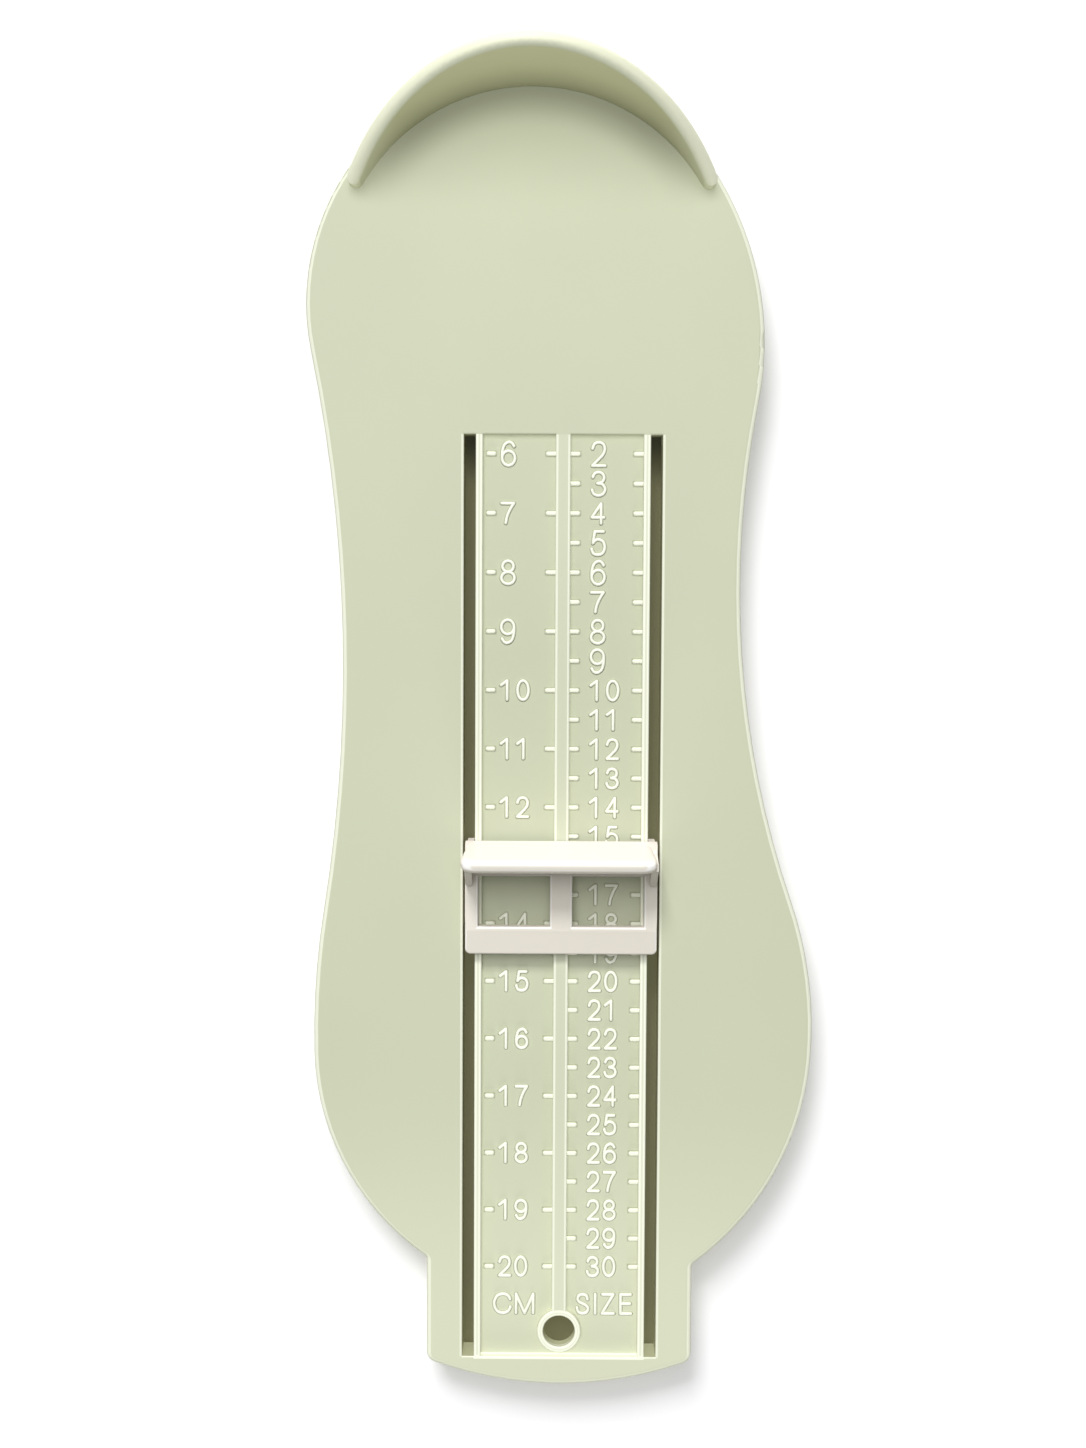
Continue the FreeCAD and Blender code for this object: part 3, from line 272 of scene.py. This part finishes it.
def add_figure(mesh, character, left, middle, width, height):
    """One figure in a box given by its left side, its middle height and its outer size."""
    across = width - 2 * RIDGE_HALF_WIDTH
    tall = height - 2 * RIDGE_HALF_WIDTH
    for stroke in STROKES[character]:
        add_ridge(mesh, [
            Vector((left + RIDGE_HALF_WIDTH + x * across,
                    middle + (y - 0.5) * tall, PANEL_LEVEL)) for x, y in stroke])


def add_number(mesh, number, left, station):
    """A number of one or two figures, centred on its mark."""
    text = str(number)
    middle = RULER_ZERO - station
    if len(text) == 1:
        width, height = LOW_FIGURE_SIZE if text in LOW_FIGURES else SINGLE_SIZE
    else:
        width, height = PAIR_SIZE
    for place, character in enumerate(text):
        add_figure(mesh, character, RULER_MIDDLE + left + place * PAIR_PITCH, middle,
                   width, height)


def draw_length_numbers(mesh):
    """A number at each centimetre mark."""
    for number in range(FIRST_LENGTH, LAST_LENGTH + 1):
        add_number(mesh, number, LENGTH_COLUMN,
                   FIRST_MARK + LENGTH_PITCH * (number - FIRST_LENGTH))


def draw_size_numbers(mesh):
    """A number at each size mark."""
    for number in range(FIRST_SIZE, LAST_SIZE + 1):
        add_number(mesh, number, SIZE_COLUMN,
                   FIRST_MARK + SIZE_PITCH * (number - FIRST_SIZE))


def draw_scale_letters(mesh):
    """A word under each column of numbers, letter by letter."""
    for word, (left, widths, gap) in WORDS.items():
        for character, width in zip(word, widths):
            add_figure(mesh, character, RULER_MIDDLE + left, RULER_ZERO - LETTER_STATION,
                       width, LETTER_HEIGHT)
            left += width + gap


def raised_piece(name, draw):
    """A piece of raised strokes on the footplate."""
    mesh = bmesh.new()
    draw(mesh)
    bmesh.ops.recalc_face_normals(mesh, faces=mesh.faces)
    data = bpy.data.meshes.new(name)
    mesh.to_mesh(data)
    mesh.free()
    for polygon in data.polygons:
        polygon.use_smooth = True
    piece = bpy.data.objects.new(name, data)
    bpy.context.scene.collection.objects.link(piece)
    data.materials.append(raised_figures)
    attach(piece, "plate")
    return piece


# ---------------------------------------------------------------- nodes

def feed(tree, socket, value):
    """Give a socket another socket's value or a constant."""
    if isinstance(value, bpy.types.NodeSocket):
        tree.links.new(value, socket)
    else:
        socket.default_value = value


def add_math(tree, operation, *values):
    """Arithmetic on sockets and numbers."""
    node = tree.nodes.new("ShaderNodeMath")
    node.operation = operation
    for socket, value in zip(node.inputs, values):
        feed(tree, socket, value)
    return node.outputs[0]


def add_product(tree, first, *others):
    """Product of sockets and numbers."""
    for other in others:
        first = add_math(tree, "MULTIPLY", first, other)
    return first


def add_length(tree, first, second):
    """Length of a flat vector from its two parts."""
    squares = (add_math(tree, "POWER", first, 2.0), add_math(tree, "POWER", second, 2.0))
    return add_math(tree, "SQRT", add_math(tree, "ADD", *squares))


def add_range(tree, value, low, high, to_low, to_high):
    """Map a value from one range to another, smoothly and clamped."""
    node = tree.nodes.new("ShaderNodeMapRange")
    node.interpolation_type = "SMOOTHSTEP"
    for label, number in (("Value", value), ("From Min", low), ("From Max", high),
                          ("To Min", to_low), ("To Max", to_high)):
        feed(tree, node.inputs[label], number)
    return node.outputs["Result"]


def add_fade(tree, place, ends, to_low=0.0, to_high=1.0, level=0.0):
    """Fade between two places in millimetres, counted from a level."""
    return add_range(tree, place, (level + ends[0]) * MM, (level + ends[1]) * MM,
                     to_low, to_high)


def add_band(tree, place, low, high, soft=BAND_SOFTNESS):
    """1 between two heights or distances in millimetres, 0 outside."""
    return add_product(tree, add_fade(tree, place, (low - soft, low + soft)),
                       add_fade(tree, place, (high - soft, high + soft), 1.0, 0.0))


def add_mix(tree, share, first, second):
    """Mix two colours."""
    node = tree.nodes.new("ShaderNodeMix")
    node.data_type = "RGBA"
    tree.links.new(share, node.inputs["Factor"])
    tree.links.new(first, node.inputs[6])
    tree.links.new(second, node.inputs[7])
    return node.outputs[2]


def add_tone(tree, tone):
    """A plain colour."""
    node = tree.nodes.new("ShaderNodeRGB")
    node.outputs[0].default_value = (*tone, 1)
    return node.outputs[0]


def add_noise(tree, coordinates, size, detail):
    """Noise texture whose size is fed by another socket."""
    noise = tree.nodes.new("ShaderNodeTexNoise")
    noise.inputs["Detail"].default_value = detail
    tree.links.new(coordinates, noise.inputs["Vector"])
    tree.links.new(size, noise.inputs["Scale"])
    return noise.outputs["Fac"]


def split_axes(tree, kind):
    """X, Y and Z of a texture coordinate."""
    texture = tree.nodes.new("ShaderNodeTexCoord")
    split = tree.nodes.new("ShaderNodeSeparateXYZ")
    tree.links.new(texture.outputs[kind], split.inputs[0])
    return split.outputs


def new_group(name, inputs, outputs):
    """Empty shader group with its named sockets, and its two ends."""
    group = bpy.data.node_groups.new(name, "ShaderNodeTree")
    for label, kind, value in inputs:
        socket = group.interface.new_socket(name=label, in_out="INPUT", socket_type=kind)
        socket.default_value = value
    for label, kind in outputs:
        group.interface.new_socket(name=label, in_out="OUTPUT", socket_type=kind)
    return group, group.nodes.new("NodeGroupInput"), group.nodes.new("NodeGroupOutput")


# ---------------------------------------------------------------- finishes

def make_moulded_surface():
    """Cloudy colour and a fine grain, as moulded plastic has."""
    group, given, result = new_group(
        "moulded_surface",
        [("Colour", "NodeSocketColor", (0.5, 0.5, 0.5, 1)),
         ("Cloud Colour", "NodeSocketColor", (0.4, 0.4, 0.4, 1)),
         ("Cloud Size", "NodeSocketFloat", 30.0),
         ("Grain Size", "NodeSocketFloat", 3000.0),
         ("Roughness", "NodeSocketFloat", 0.5)],
        [("Colour", "NodeSocketColor"), ("Roughness", "NodeSocketFloat"),
         ("Height", "NodeSocketFloat")])
    place = group.nodes.new("ShaderNodeTexCoord").outputs["Object"]
    cloud = add_noise(group, place, given.outputs["Cloud Size"], CLOUD_DETAIL)
    share = add_range(group, cloud, *CLOUD_BAND, 0.0, 1.0)
    colour = add_mix(group, share, given.outputs["Colour"], given.outputs["Cloud Colour"])
    grain = add_noise(group, place, given.outputs["Grain Size"], GRAIN_DETAIL)
    rough = add_math(group, "MULTIPLY_ADD", grain, GRAIN_ON_ROUGHNESS,
                     given.outputs["Roughness"])
    group.links.new(colour, result.inputs["Colour"])
    group.links.new(rough, result.inputs["Roughness"])
    group.links.new(grain, result.inputs["Height"])
    return group


def make_turned_tones():
    """Painted light by the way a surface faces: painted highlights on upper edges, painted
    shade on upright walls.

    The painted edge highlights fade in above the floor and out below the ceiling, which are
    heights in metres, and they fade where they face the toes, away from the light.
    """
    group, given, result = new_group(
        "painted_light_by_facing",
        [("Colour", "NodeSocketColor", (0.5, 0.5, 0.5, 1)),
         ("Edge Highlight Colour", "NodeSocketColor", (0.9, 0.9, 0.9, 1)),
         ("Edge Highlight Strength", "NodeSocketFloat", 1.0),
         ("Edge Start", "NodeSocketFloat", 0.35),
         ("Edge Full", "NodeSocketFloat", 0.7),
         ("Flat Start", "NodeSocketFloat", 0.9),
         ("Flat Full", "NodeSocketFloat", 0.99),
         ("Wall Shade Colour", "NodeSocketColor", (0.4, 0.4, 0.4, 1)),
         ("Floor Start", "NodeSocketFloat", 0.0),
         ("Floor Full", "NodeSocketFloat", 0.0),
         ("Ceiling Start", "NodeSocketFloat", 1.0),
         ("Ceiling Full", "NodeSocketFloat", 1.0)],
        [("Colour", "NodeSocketColor")])
    facing = split_axes(group, "Normal")
    height = split_axes(group, "Object")["Z"]
    upright = add_range(group, facing["Z"], *WALL_TURN, 1.0, 0.0)
    wall_shaded = add_mix(group, upright, given.outputs["Colour"], given.outputs["Wall Shade Colour"])
    below_flat = add_range(group, facing["Z"], given.outputs["Flat Start"],
                           given.outputs["Flat Full"], 1.0, 0.0)
    above_wall = add_range(group, facing["Z"], given.outputs["Edge Start"],
                           given.outputs["Edge Full"], 0.0, 1.0)
    above_floor = add_range(group, height, given.outputs["Floor Start"],
                            given.outputs["Floor Full"], 0.0, 1.0)
    under_ceiling = add_range(group, height, given.outputs["Ceiling Start"],
                              given.outputs["Ceiling Full"], 1.0, 0.0)
    off_toes = add_range(group, facing["Y"], *TOE_TURN, 0.0, 1.0)
    share = add_product(group, below_flat, above_wall, under_ceiling, above_floor, off_toes,
                        given.outputs["Edge Highlight Strength"])
    colour = add_mix(group, share, wall_shaded, given.outputs["Edge Highlight Colour"])
    group.links.new(colour, result.inputs["Colour"])
    return group


def plastic(name, colour, cloud, wall, edge, highlight_strength, highlight_band, roughness):
    """A moulded plastic: cloudy colour, painted highlights on its edges, painted shade on
    its upright walls and a fine grain.

    The highlight band says how far up the surface faces where the painted edge highlights
    start, are full, start to fade and end, and gives the same four places as heights in
    millimetres.
    """
    material = bpy.data.materials.new(name)
    material.use_nodes = True
    tree = material.node_tree
    shader = tree.nodes["Principled BSDF"]
    surface = tree.nodes.new("ShaderNodeGroup")
    surface.node_tree = moulded_surface
    surface.inputs["Colour"].default_value = (*colour, 1)
    surface.inputs["Cloud Colour"].default_value = (*cloud, 1)
    surface.inputs["Roughness"].default_value = roughness
    tones = tree.nodes.new("ShaderNodeGroup")
    tones.node_tree = painted_light_by_facing
    tones.inputs["Wall Shade Colour"].default_value = (*wall, 1)
    tones.inputs["Edge Highlight Colour"].default_value = (*edge, 1)
    tones.inputs["Edge Highlight Strength"].default_value = highlight_strength
    turns, heights = highlight_band
    for label, turn in zip(("Edge Start", "Edge Full", "Flat Start", "Flat Full"), turns):
        tones.inputs[label].default_value = turn
    for label, height in zip(("Floor Start", "Floor Full", "Ceiling Start", "Ceiling Full"),
                             heights):
        tones.inputs[label].default_value = height * MM
    bump = tree.nodes.new("ShaderNodeBump")
    bump.inputs["Strength"].default_value = BUMP_STRENGTH
    bump.inputs["Distance"].default_value = BUMP_DEPTH * MM
    tree.links.new(surface.outputs["Colour"], tones.inputs["Colour"])
    tree.links.new(tones.outputs["Colour"], shader.inputs["Base Color"])
    tree.links.new(surface.outputs["Roughness"], shader.inputs["Roughness"])
    tree.links.new(surface.outputs["Height"], bump.inputs["Height"])
    tree.links.new(bump.outputs["Normal"], shader.inputs["Normal"])
    return material


def paint_over(material, share, tone):
    """Lay a tone over a finish's colour."""
    tree = material.node_tree
    base = tree.nodes["Principled BSDF"].inputs["Base Color"]
    colour = base.links[0].from_socket
    tree.links.new(add_mix(tree, share, colour, add_tone(tree, tone)), base)


def brighten_ruler(material, tone, marks, ribs, edges):
    """Painted highlights on the marks, guide ribs, rib edges and hole ring, and on the wall
    at the ruler's toe end.
    """
    tree = material.node_tree
    place = split_axes(tree, "Object")
    across = add_math(tree, "SUBTRACT", place["X"], RULER_MIDDLE * MM)
    off_middle = add_math(tree, "ABSOLUTE", across)
    off_hole = add_length(tree, across, add_math(
        tree, "SUBTRACT", place["Y"], (RULER_ZERO - HOLE_STATION) * MM))
    in_ruler = add_band(tree, place["Y"], RULER_ZERO - SLOT_END, RULER_ZERO - SLOT_START)
    raised = add_band(tree, place["Z"], RIB_LOW, RIB_HIGH)
    outside_ring = add_fade(tree, off_hole, (RING_RADIUS - EDGE_LINE, RING_RADIUS))
    share = add_product(tree, add_band(tree, off_middle, 0.0, PANEL_HALF),
                        add_band(tree, place["Z"], MARK_LOW, MARK_HIGH), marks)
    centre = CENTRE_RIB_SHARE * ribs
    for low, high, strength in (
            (PANEL_HALF, SLOT_INNER, ribs),
            (PANEL_HALF, PANEL_HALF + EDGE_LINE, edges - ribs),
            (SLOT_INNER - EDGE_LINE, SLOT_INNER, edges - ribs),
            (SLOT_OUTER, SLOT_OUTER + EDGE_LINE, OUTER_EDGE_SHARE * edges),
            (0.0, CENTRE_RIB_HALF, centre),
            (CENTRE_RIB_HALF - EDGE_LINE, CENTRE_RIB_HALF,
             CENTRE_EDGE_SHARE * edges - centre)):
        line = add_product(tree, add_band(tree, off_middle, low, high), raised,
                           outside_ring, strength)
        share = add_math(tree, "ADD", share, line)
    share = add_product(tree, share, in_ruler)
    for low, high, strength in (
            (HOLE_RADIUS, RING_RADIUS, ribs),
            (HOLE_RADIUS, HOLE_RADIUS + EDGE_LINE, edges - ribs),
            (RING_RADIUS - EDGE_LINE, RING_RADIUS, edges - ribs)):
        line = add_product(tree, add_band(tree, off_hole, low, high), raised, strength)
        share = add_math(tree, "ADD", share, line)
    toe_end = add_band(tree, place["Y"], RULER_ZERO - SLOT_END - EDGE_LINE,
                       RULER_ZERO - SLOT_END + TOE_WALL)
    toe_end = add_product(tree, toe_end, add_band(tree, off_middle, 0.0, SLOT_INNER), edges)
    paint_over(material, add_math(tree, "ADD", share, toe_end), tone)


def deepen_surrounds(material, tone):
    """Painted shade on the panel close round the marks, standing in for their contact
    shadows.
    """
    tree = material.node_tree
    place = split_axes(tree, "Object")
    across = add_math(tree, "SUBTRACT", place["X"], RULER_MIDDLE * MM)
    station = add_math(tree, "SUBTRACT", RULER_ZERO * MM, place["Y"])
    near_marks = []
    for low, high, pitch in MARK_COLUMNS:
        off_mark = add_math(tree, "PINGPONG", station, pitch / 2 * MM)
        near = add_fade(tree, off_mark, (0.0, 2 * SKIRT_WIDTH), SURROUND_SHADE, 0.0,
                        MARK_HALF_WIDTH)
        near_marks.append(add_product(tree, near, add_band(
            tree, across, low - SKIRT_WIDTH, high + SKIRT_WIDTH, SKIRT_WIDTH)))
    share = near_marks[0]
    for near in near_marks[1:]:
        share = add_math(tree, "ADD", share, near)
    on_panel = add_band(tree, place["Z"], PANEL_LEVEL - PANEL_SLACK,
                        PANEL_LEVEL + PANEL_SLACK)
    along = add_band(tree, station, FIRST_MARK - MARK_MARGIN, LAST_MARK + MARK_MARGIN)
    paint_over(material, add_product(tree, share, on_panel, along), tone)


def deepen_skirts(material, tone):
    """Painted shade on the thin skirts round the raised figures, standing in for their
    contact shadows.
    """
    height = split_axes(material.node_tree, "Object")["Z"]
    share = add_fade(material.node_tree, height, (SKIRT_RISE, 3 * SKIRT_RISE), 1.0, 0.0,
                     PANEL_LEVEL)
    paint_over(material, share, tone)


def tone_heel_and_toe(material, pale, deep):
    """Painted highlight on the heel wall's rim and ends, painted shade at its foot, and
    painted light on the toe end.
    """
    tree = material.node_tree
    place = split_axes(tree, "Object")
    facing = split_axes(tree, "Normal")
    across = add_math(tree, "SUBTRACT", place["X"], HEEL_CENTRE[0] * MM)
    along = add_math(tree, "SUBTRACT", place["Y"], HEEL_CENTRE[1] * MM)
    radius = add_length(tree, across, along)
    outwards = add_math(tree, "ADD", add_product(tree, across, facing["X"]),
                        add_product(tree, along, facing["Y"]))
    outwards = add_math(tree, "DIVIDE", outwards, radius)
    backwards = add_math(tree, "DIVIDE", along, radius)

    on_rim = add_product(
        tree, add_range(tree, outwards, *RIM_OUTWARDS, 0.0, RIM_STRENGTH),
        add_range(tree, facing["Z"], *RIM_TURN, 0.0, 1.0),
        add_fade(tree, place["Z"], RIM_HEIGHTS, level=DECK_LEVEL))
    at_toes = add_fade(tree, place["Y"], TOE_FADE, 0.0, TOE_STRENGTH)
    inside = add_fade(tree, radius, WALL_FAR, 1.0, 0.0, HEEL_INSIDE)
    upright = add_range(tree, facing["Z"], *WALL_BACK_TURN, 1.0, 0.0)
    at_ends = add_product(
        tree, add_range(tree, backwards, *END_BACKWARDS, END_STRENGTH, 0.0), inside,
        upright, add_fade(tree, radius, WALL_NEAR, level=HEEL_INSIDE))
    on_deck = add_product(
        tree, add_fade(tree, radius, (-FOOT_REACH, 0.0), level=HEEL_INSIDE),
        add_fade(tree, place["Z"], FOOT_CEILING, 1.0, 0.0, DECK_LEVEL), DECK_SHADE)
    on_wall = add_product(
        tree, add_fade(tree, place["Z"], FOOT_ON_WALL, 1.0, 0.0), upright, WALL_SHADE)
    behind = add_range(tree, backwards, *FOOT_BACKWARDS, 0.0, 1.0)
    painted_foot_shade = add_product(tree, add_math(tree, "MAXIMUM", on_deck, on_wall), behind, inside)
    for share, tone in ((on_rim, pale), (at_toes, pale), (at_ends, pale), (painted_foot_shade, deep)):
        paint_over(material, share, tone)


# ---------------------------------------------------------------- camera, lights, floor

def add_camera():
    """A camera over the part."""
    data = bpy.data.cameras.new("camera")
    data.sensor_fit = "VERTICAL"
    data.sensor_height = SENSOR_HEIGHT
    data.lens = LENS
    data.clip_start = CAMERA_NEAR
    camera = bpy.data.objects.new("camera", data)
    camera.location = CAMERA_PLACE
    camera.rotation_euler = CAMERA_TURN
    bpy.context.scene.collection.objects.link(camera)
    bpy.context.scene.camera = camera


def add_softbox(name, direction, size, power):
    """Square area light that faces the part's middle from a direction."""
    data = bpy.data.lights.new(name, "AREA")
    data.shape = "SQUARE"
    data.size = size
    data.energy = power * LIGHT_DISTANCE ** 2
    light = bpy.data.objects.new(name, data)
    light.location = Vector(direction).normalized() * LIGHT_DISTANCE
    light.rotation_euler = (-light.location).to_track_quat("-Z", "Y").to_euler()
    bpy.context.scene.collection.objects.link(light)
    return light


def limit_light(light, lit, shading):
    """Let a light fall on some objects only, and let only some cast its shadows."""
    for purpose, objects in (("lit", lit), ("shading", shading)):
        group = bpy.data.collections.new(f"{light.name}_{purpose}")
        for item in objects:
            group.objects.link(item)
        if purpose == "lit":
            light.light_linking.receiver_collection = group
        else:
            light.light_linking.blocker_collection = group


def add_floor():
    """White floor, painted with deep shade where the ruler's slots look down on it, deepest
    under the heel end of the slots.
    """
    mesh = bpy.data.meshes.new("floor")
    corners = [(-1, -1), (1, -1), (1, 1), (-1, 1)]
    mesh.from_pydata([(FLOOR_HALF * x, FLOOR_HALF * y, 0) for x, y in corners],
                     [], [(0, 1, 2, 3)])
    floor = bpy.data.objects.new("floor", mesh)
    bpy.context.scene.collection.objects.link(floor)
    material = bpy.data.materials.new("floor_white_with_painted_shade")
    material.use_nodes = True
    tree = material.node_tree
    shader = tree.nodes["Principled BSDF"]
    shader.inputs["Roughness"].default_value = FLOOR_ROUGHNESS
    shader.inputs["Specular IOR Level"].default_value = FLOOR_SHINE
    place = split_axes(tree, "Object")
    across = add_band(tree, place["X"], RULER_MIDDLE - SHADE_HALF,
                      RULER_MIDDLE + SHADE_HALF, SHADE_SOFTNESS)
    along = add_band(tree, place["Y"], RULER_ZERO - SLOT_END - SHADE_MARGIN,
                     RULER_ZERO - SLOT_START + SHADE_MARGIN, SHADE_SOFTNESS)
    painted_shade = add_mix(tree, add_fade(tree, place["Y"], DEEP_FADE),
                   add_tone(tree, FLOOR_SHADE), add_tone(tree, FLOOR_DEEP))
    colour = add_mix(tree, add_product(tree, across, along),
                     add_tone(tree, FLOOR_WHITE), painted_shade)
    tree.links.new(colour, shader.inputs["Base Color"])
    mesh.materials.append(material)
    return floor


def light_room():
    """Dim light from all round, in a room that looks white to the camera."""
    world = bpy.data.worlds.new("room")
    bpy.context.scene.world = world
    world.use_nodes = True
    tree = world.node_tree
    background = tree.nodes["Background"]
    background.inputs["Color"].default_value = (1, 1, 1, 1)
    rays = tree.nodes.new("ShaderNodeLightPath")
    brightness = add_range(tree, rays.outputs["Is Camera Ray"], 0.0, 1.0,
                           ROOM_LIGHT, ROOM_WHITE)
    tree.links.new(brightness, background.inputs["Strength"])


moulded_surface = make_moulded_surface()
painted_light_by_facing = make_turned_tones()
# Each plastic's wall colour is painted shade on its upright walls, and its edge colour a
# painted highlight on its upper edges
sage = plastic(
    "sage_plastic", colour=(0.505, 0.535, 0.385), cloud=(0.495, 0.52, 0.375),
    wall=(0.46, 0.465, 0.275), edge=(0.86, 0.88, 0.74), highlight_strength=0.7,
    highlight_band=OUTLINE_EDGE_HIGHLIGHTS, roughness=0.45)
# The figures' paler colour is a painted highlight for the light their rounded crowns catch,
# and their wall colour painted shade on their steep sides
raised_figures = plastic(
    "raised_figures", colour=(0.86, 0.88, 0.76), cloud=(0.84, 0.86, 0.74),
    wall=(0.58, 0.60, 0.44), edge=(0.86, 0.88, 0.74), highlight_strength=0.0,
    highlight_band=OUTLINE_EDGE_HIGHLIGHTS, roughness=0.4)
warm_white = plastic(
    "warm_white_plastic", colour=(0.745, 0.705, 0.625), cloud=(0.725, 0.685, 0.605),
    wall=(0.74, 0.68, 0.62), edge=(0.96, 0.95, 0.92), highlight_strength=0.9,
    highlight_band=SLIDER_EDGE_HIGHLIGHTS, roughness=0.35)
# Painted highlights on the ruler, painted light and shade on the heel wall and toe end, and
# painted shade round the marks and on the figures' skirts
brighten_ruler(sage, (0.84, 0.86, 0.72), marks=0.85, ribs=0.45, edges=0.95)
tone_heel_and_toe(sage, pale=(0.87, 0.885, 0.68), deep=(0.14, 0.145, 0.08))
deepen_surrounds(sage, (0.36, 0.38, 0.26))
deepen_skirts(raised_figures, (0.44, 0.46, 0.325))

for name, material in (("footplate", sage), ("toe_stop", warm_white),
                       ("slide_keeper", warm_white)):
    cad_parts[name].data.materials.clear()
    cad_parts[name].data.materials.append(material)

part_pieces = [
    *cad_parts.values(),
    raised_piece("length_numbers", draw_length_numbers),
    raised_piece("size_numbers", draw_size_numbers),
    raised_piece("scale_letters", draw_scale_letters),
]
slider_pieces = [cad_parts["toe_stop"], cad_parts["slide_keeper"]]
plate_pieces = [item for item in part_pieces if item not in slider_pieces]

add_camera()
floor = add_floor()
light_room()
# Direction, size in metres and power of each light, what it lights and what shades it
for name, direction, size, power, lit, shading in (
        ("overhead_softbox", (-0.10, 0.34, 1.0), 4.5, 5.2, part_pieces, part_pieces),
        ("heel_key", (-0.18, 0.98, 0.98), 1.9, 7.15, part_pieces, slider_pieces),
        ("wall_fill", (0.05, -1.0, 0.22), 2.5, 3.8, plate_pieces, part_pieces),
        ("slider_key", (-0.05, 1.0, 0.15), 2.0, 4.2, slider_pieces, slider_pieces),
        ("floor_key", (-0.31, 1.0, 0.95), 3.2, 6.6, [floor], part_pieces),
        ("floor_rim", (-0.14, 0.60, 1.0), 6.0, 3.0, [floor], part_pieces),
        ("floor_fill", (0.0, 0.0, 1.0), 3.2, 3.2, [floor], [floor])):
    limit_light(add_softbox(name, direction, size, power), lit, shading)

bpy.context.scene.view_settings.view_transform = "Standard"
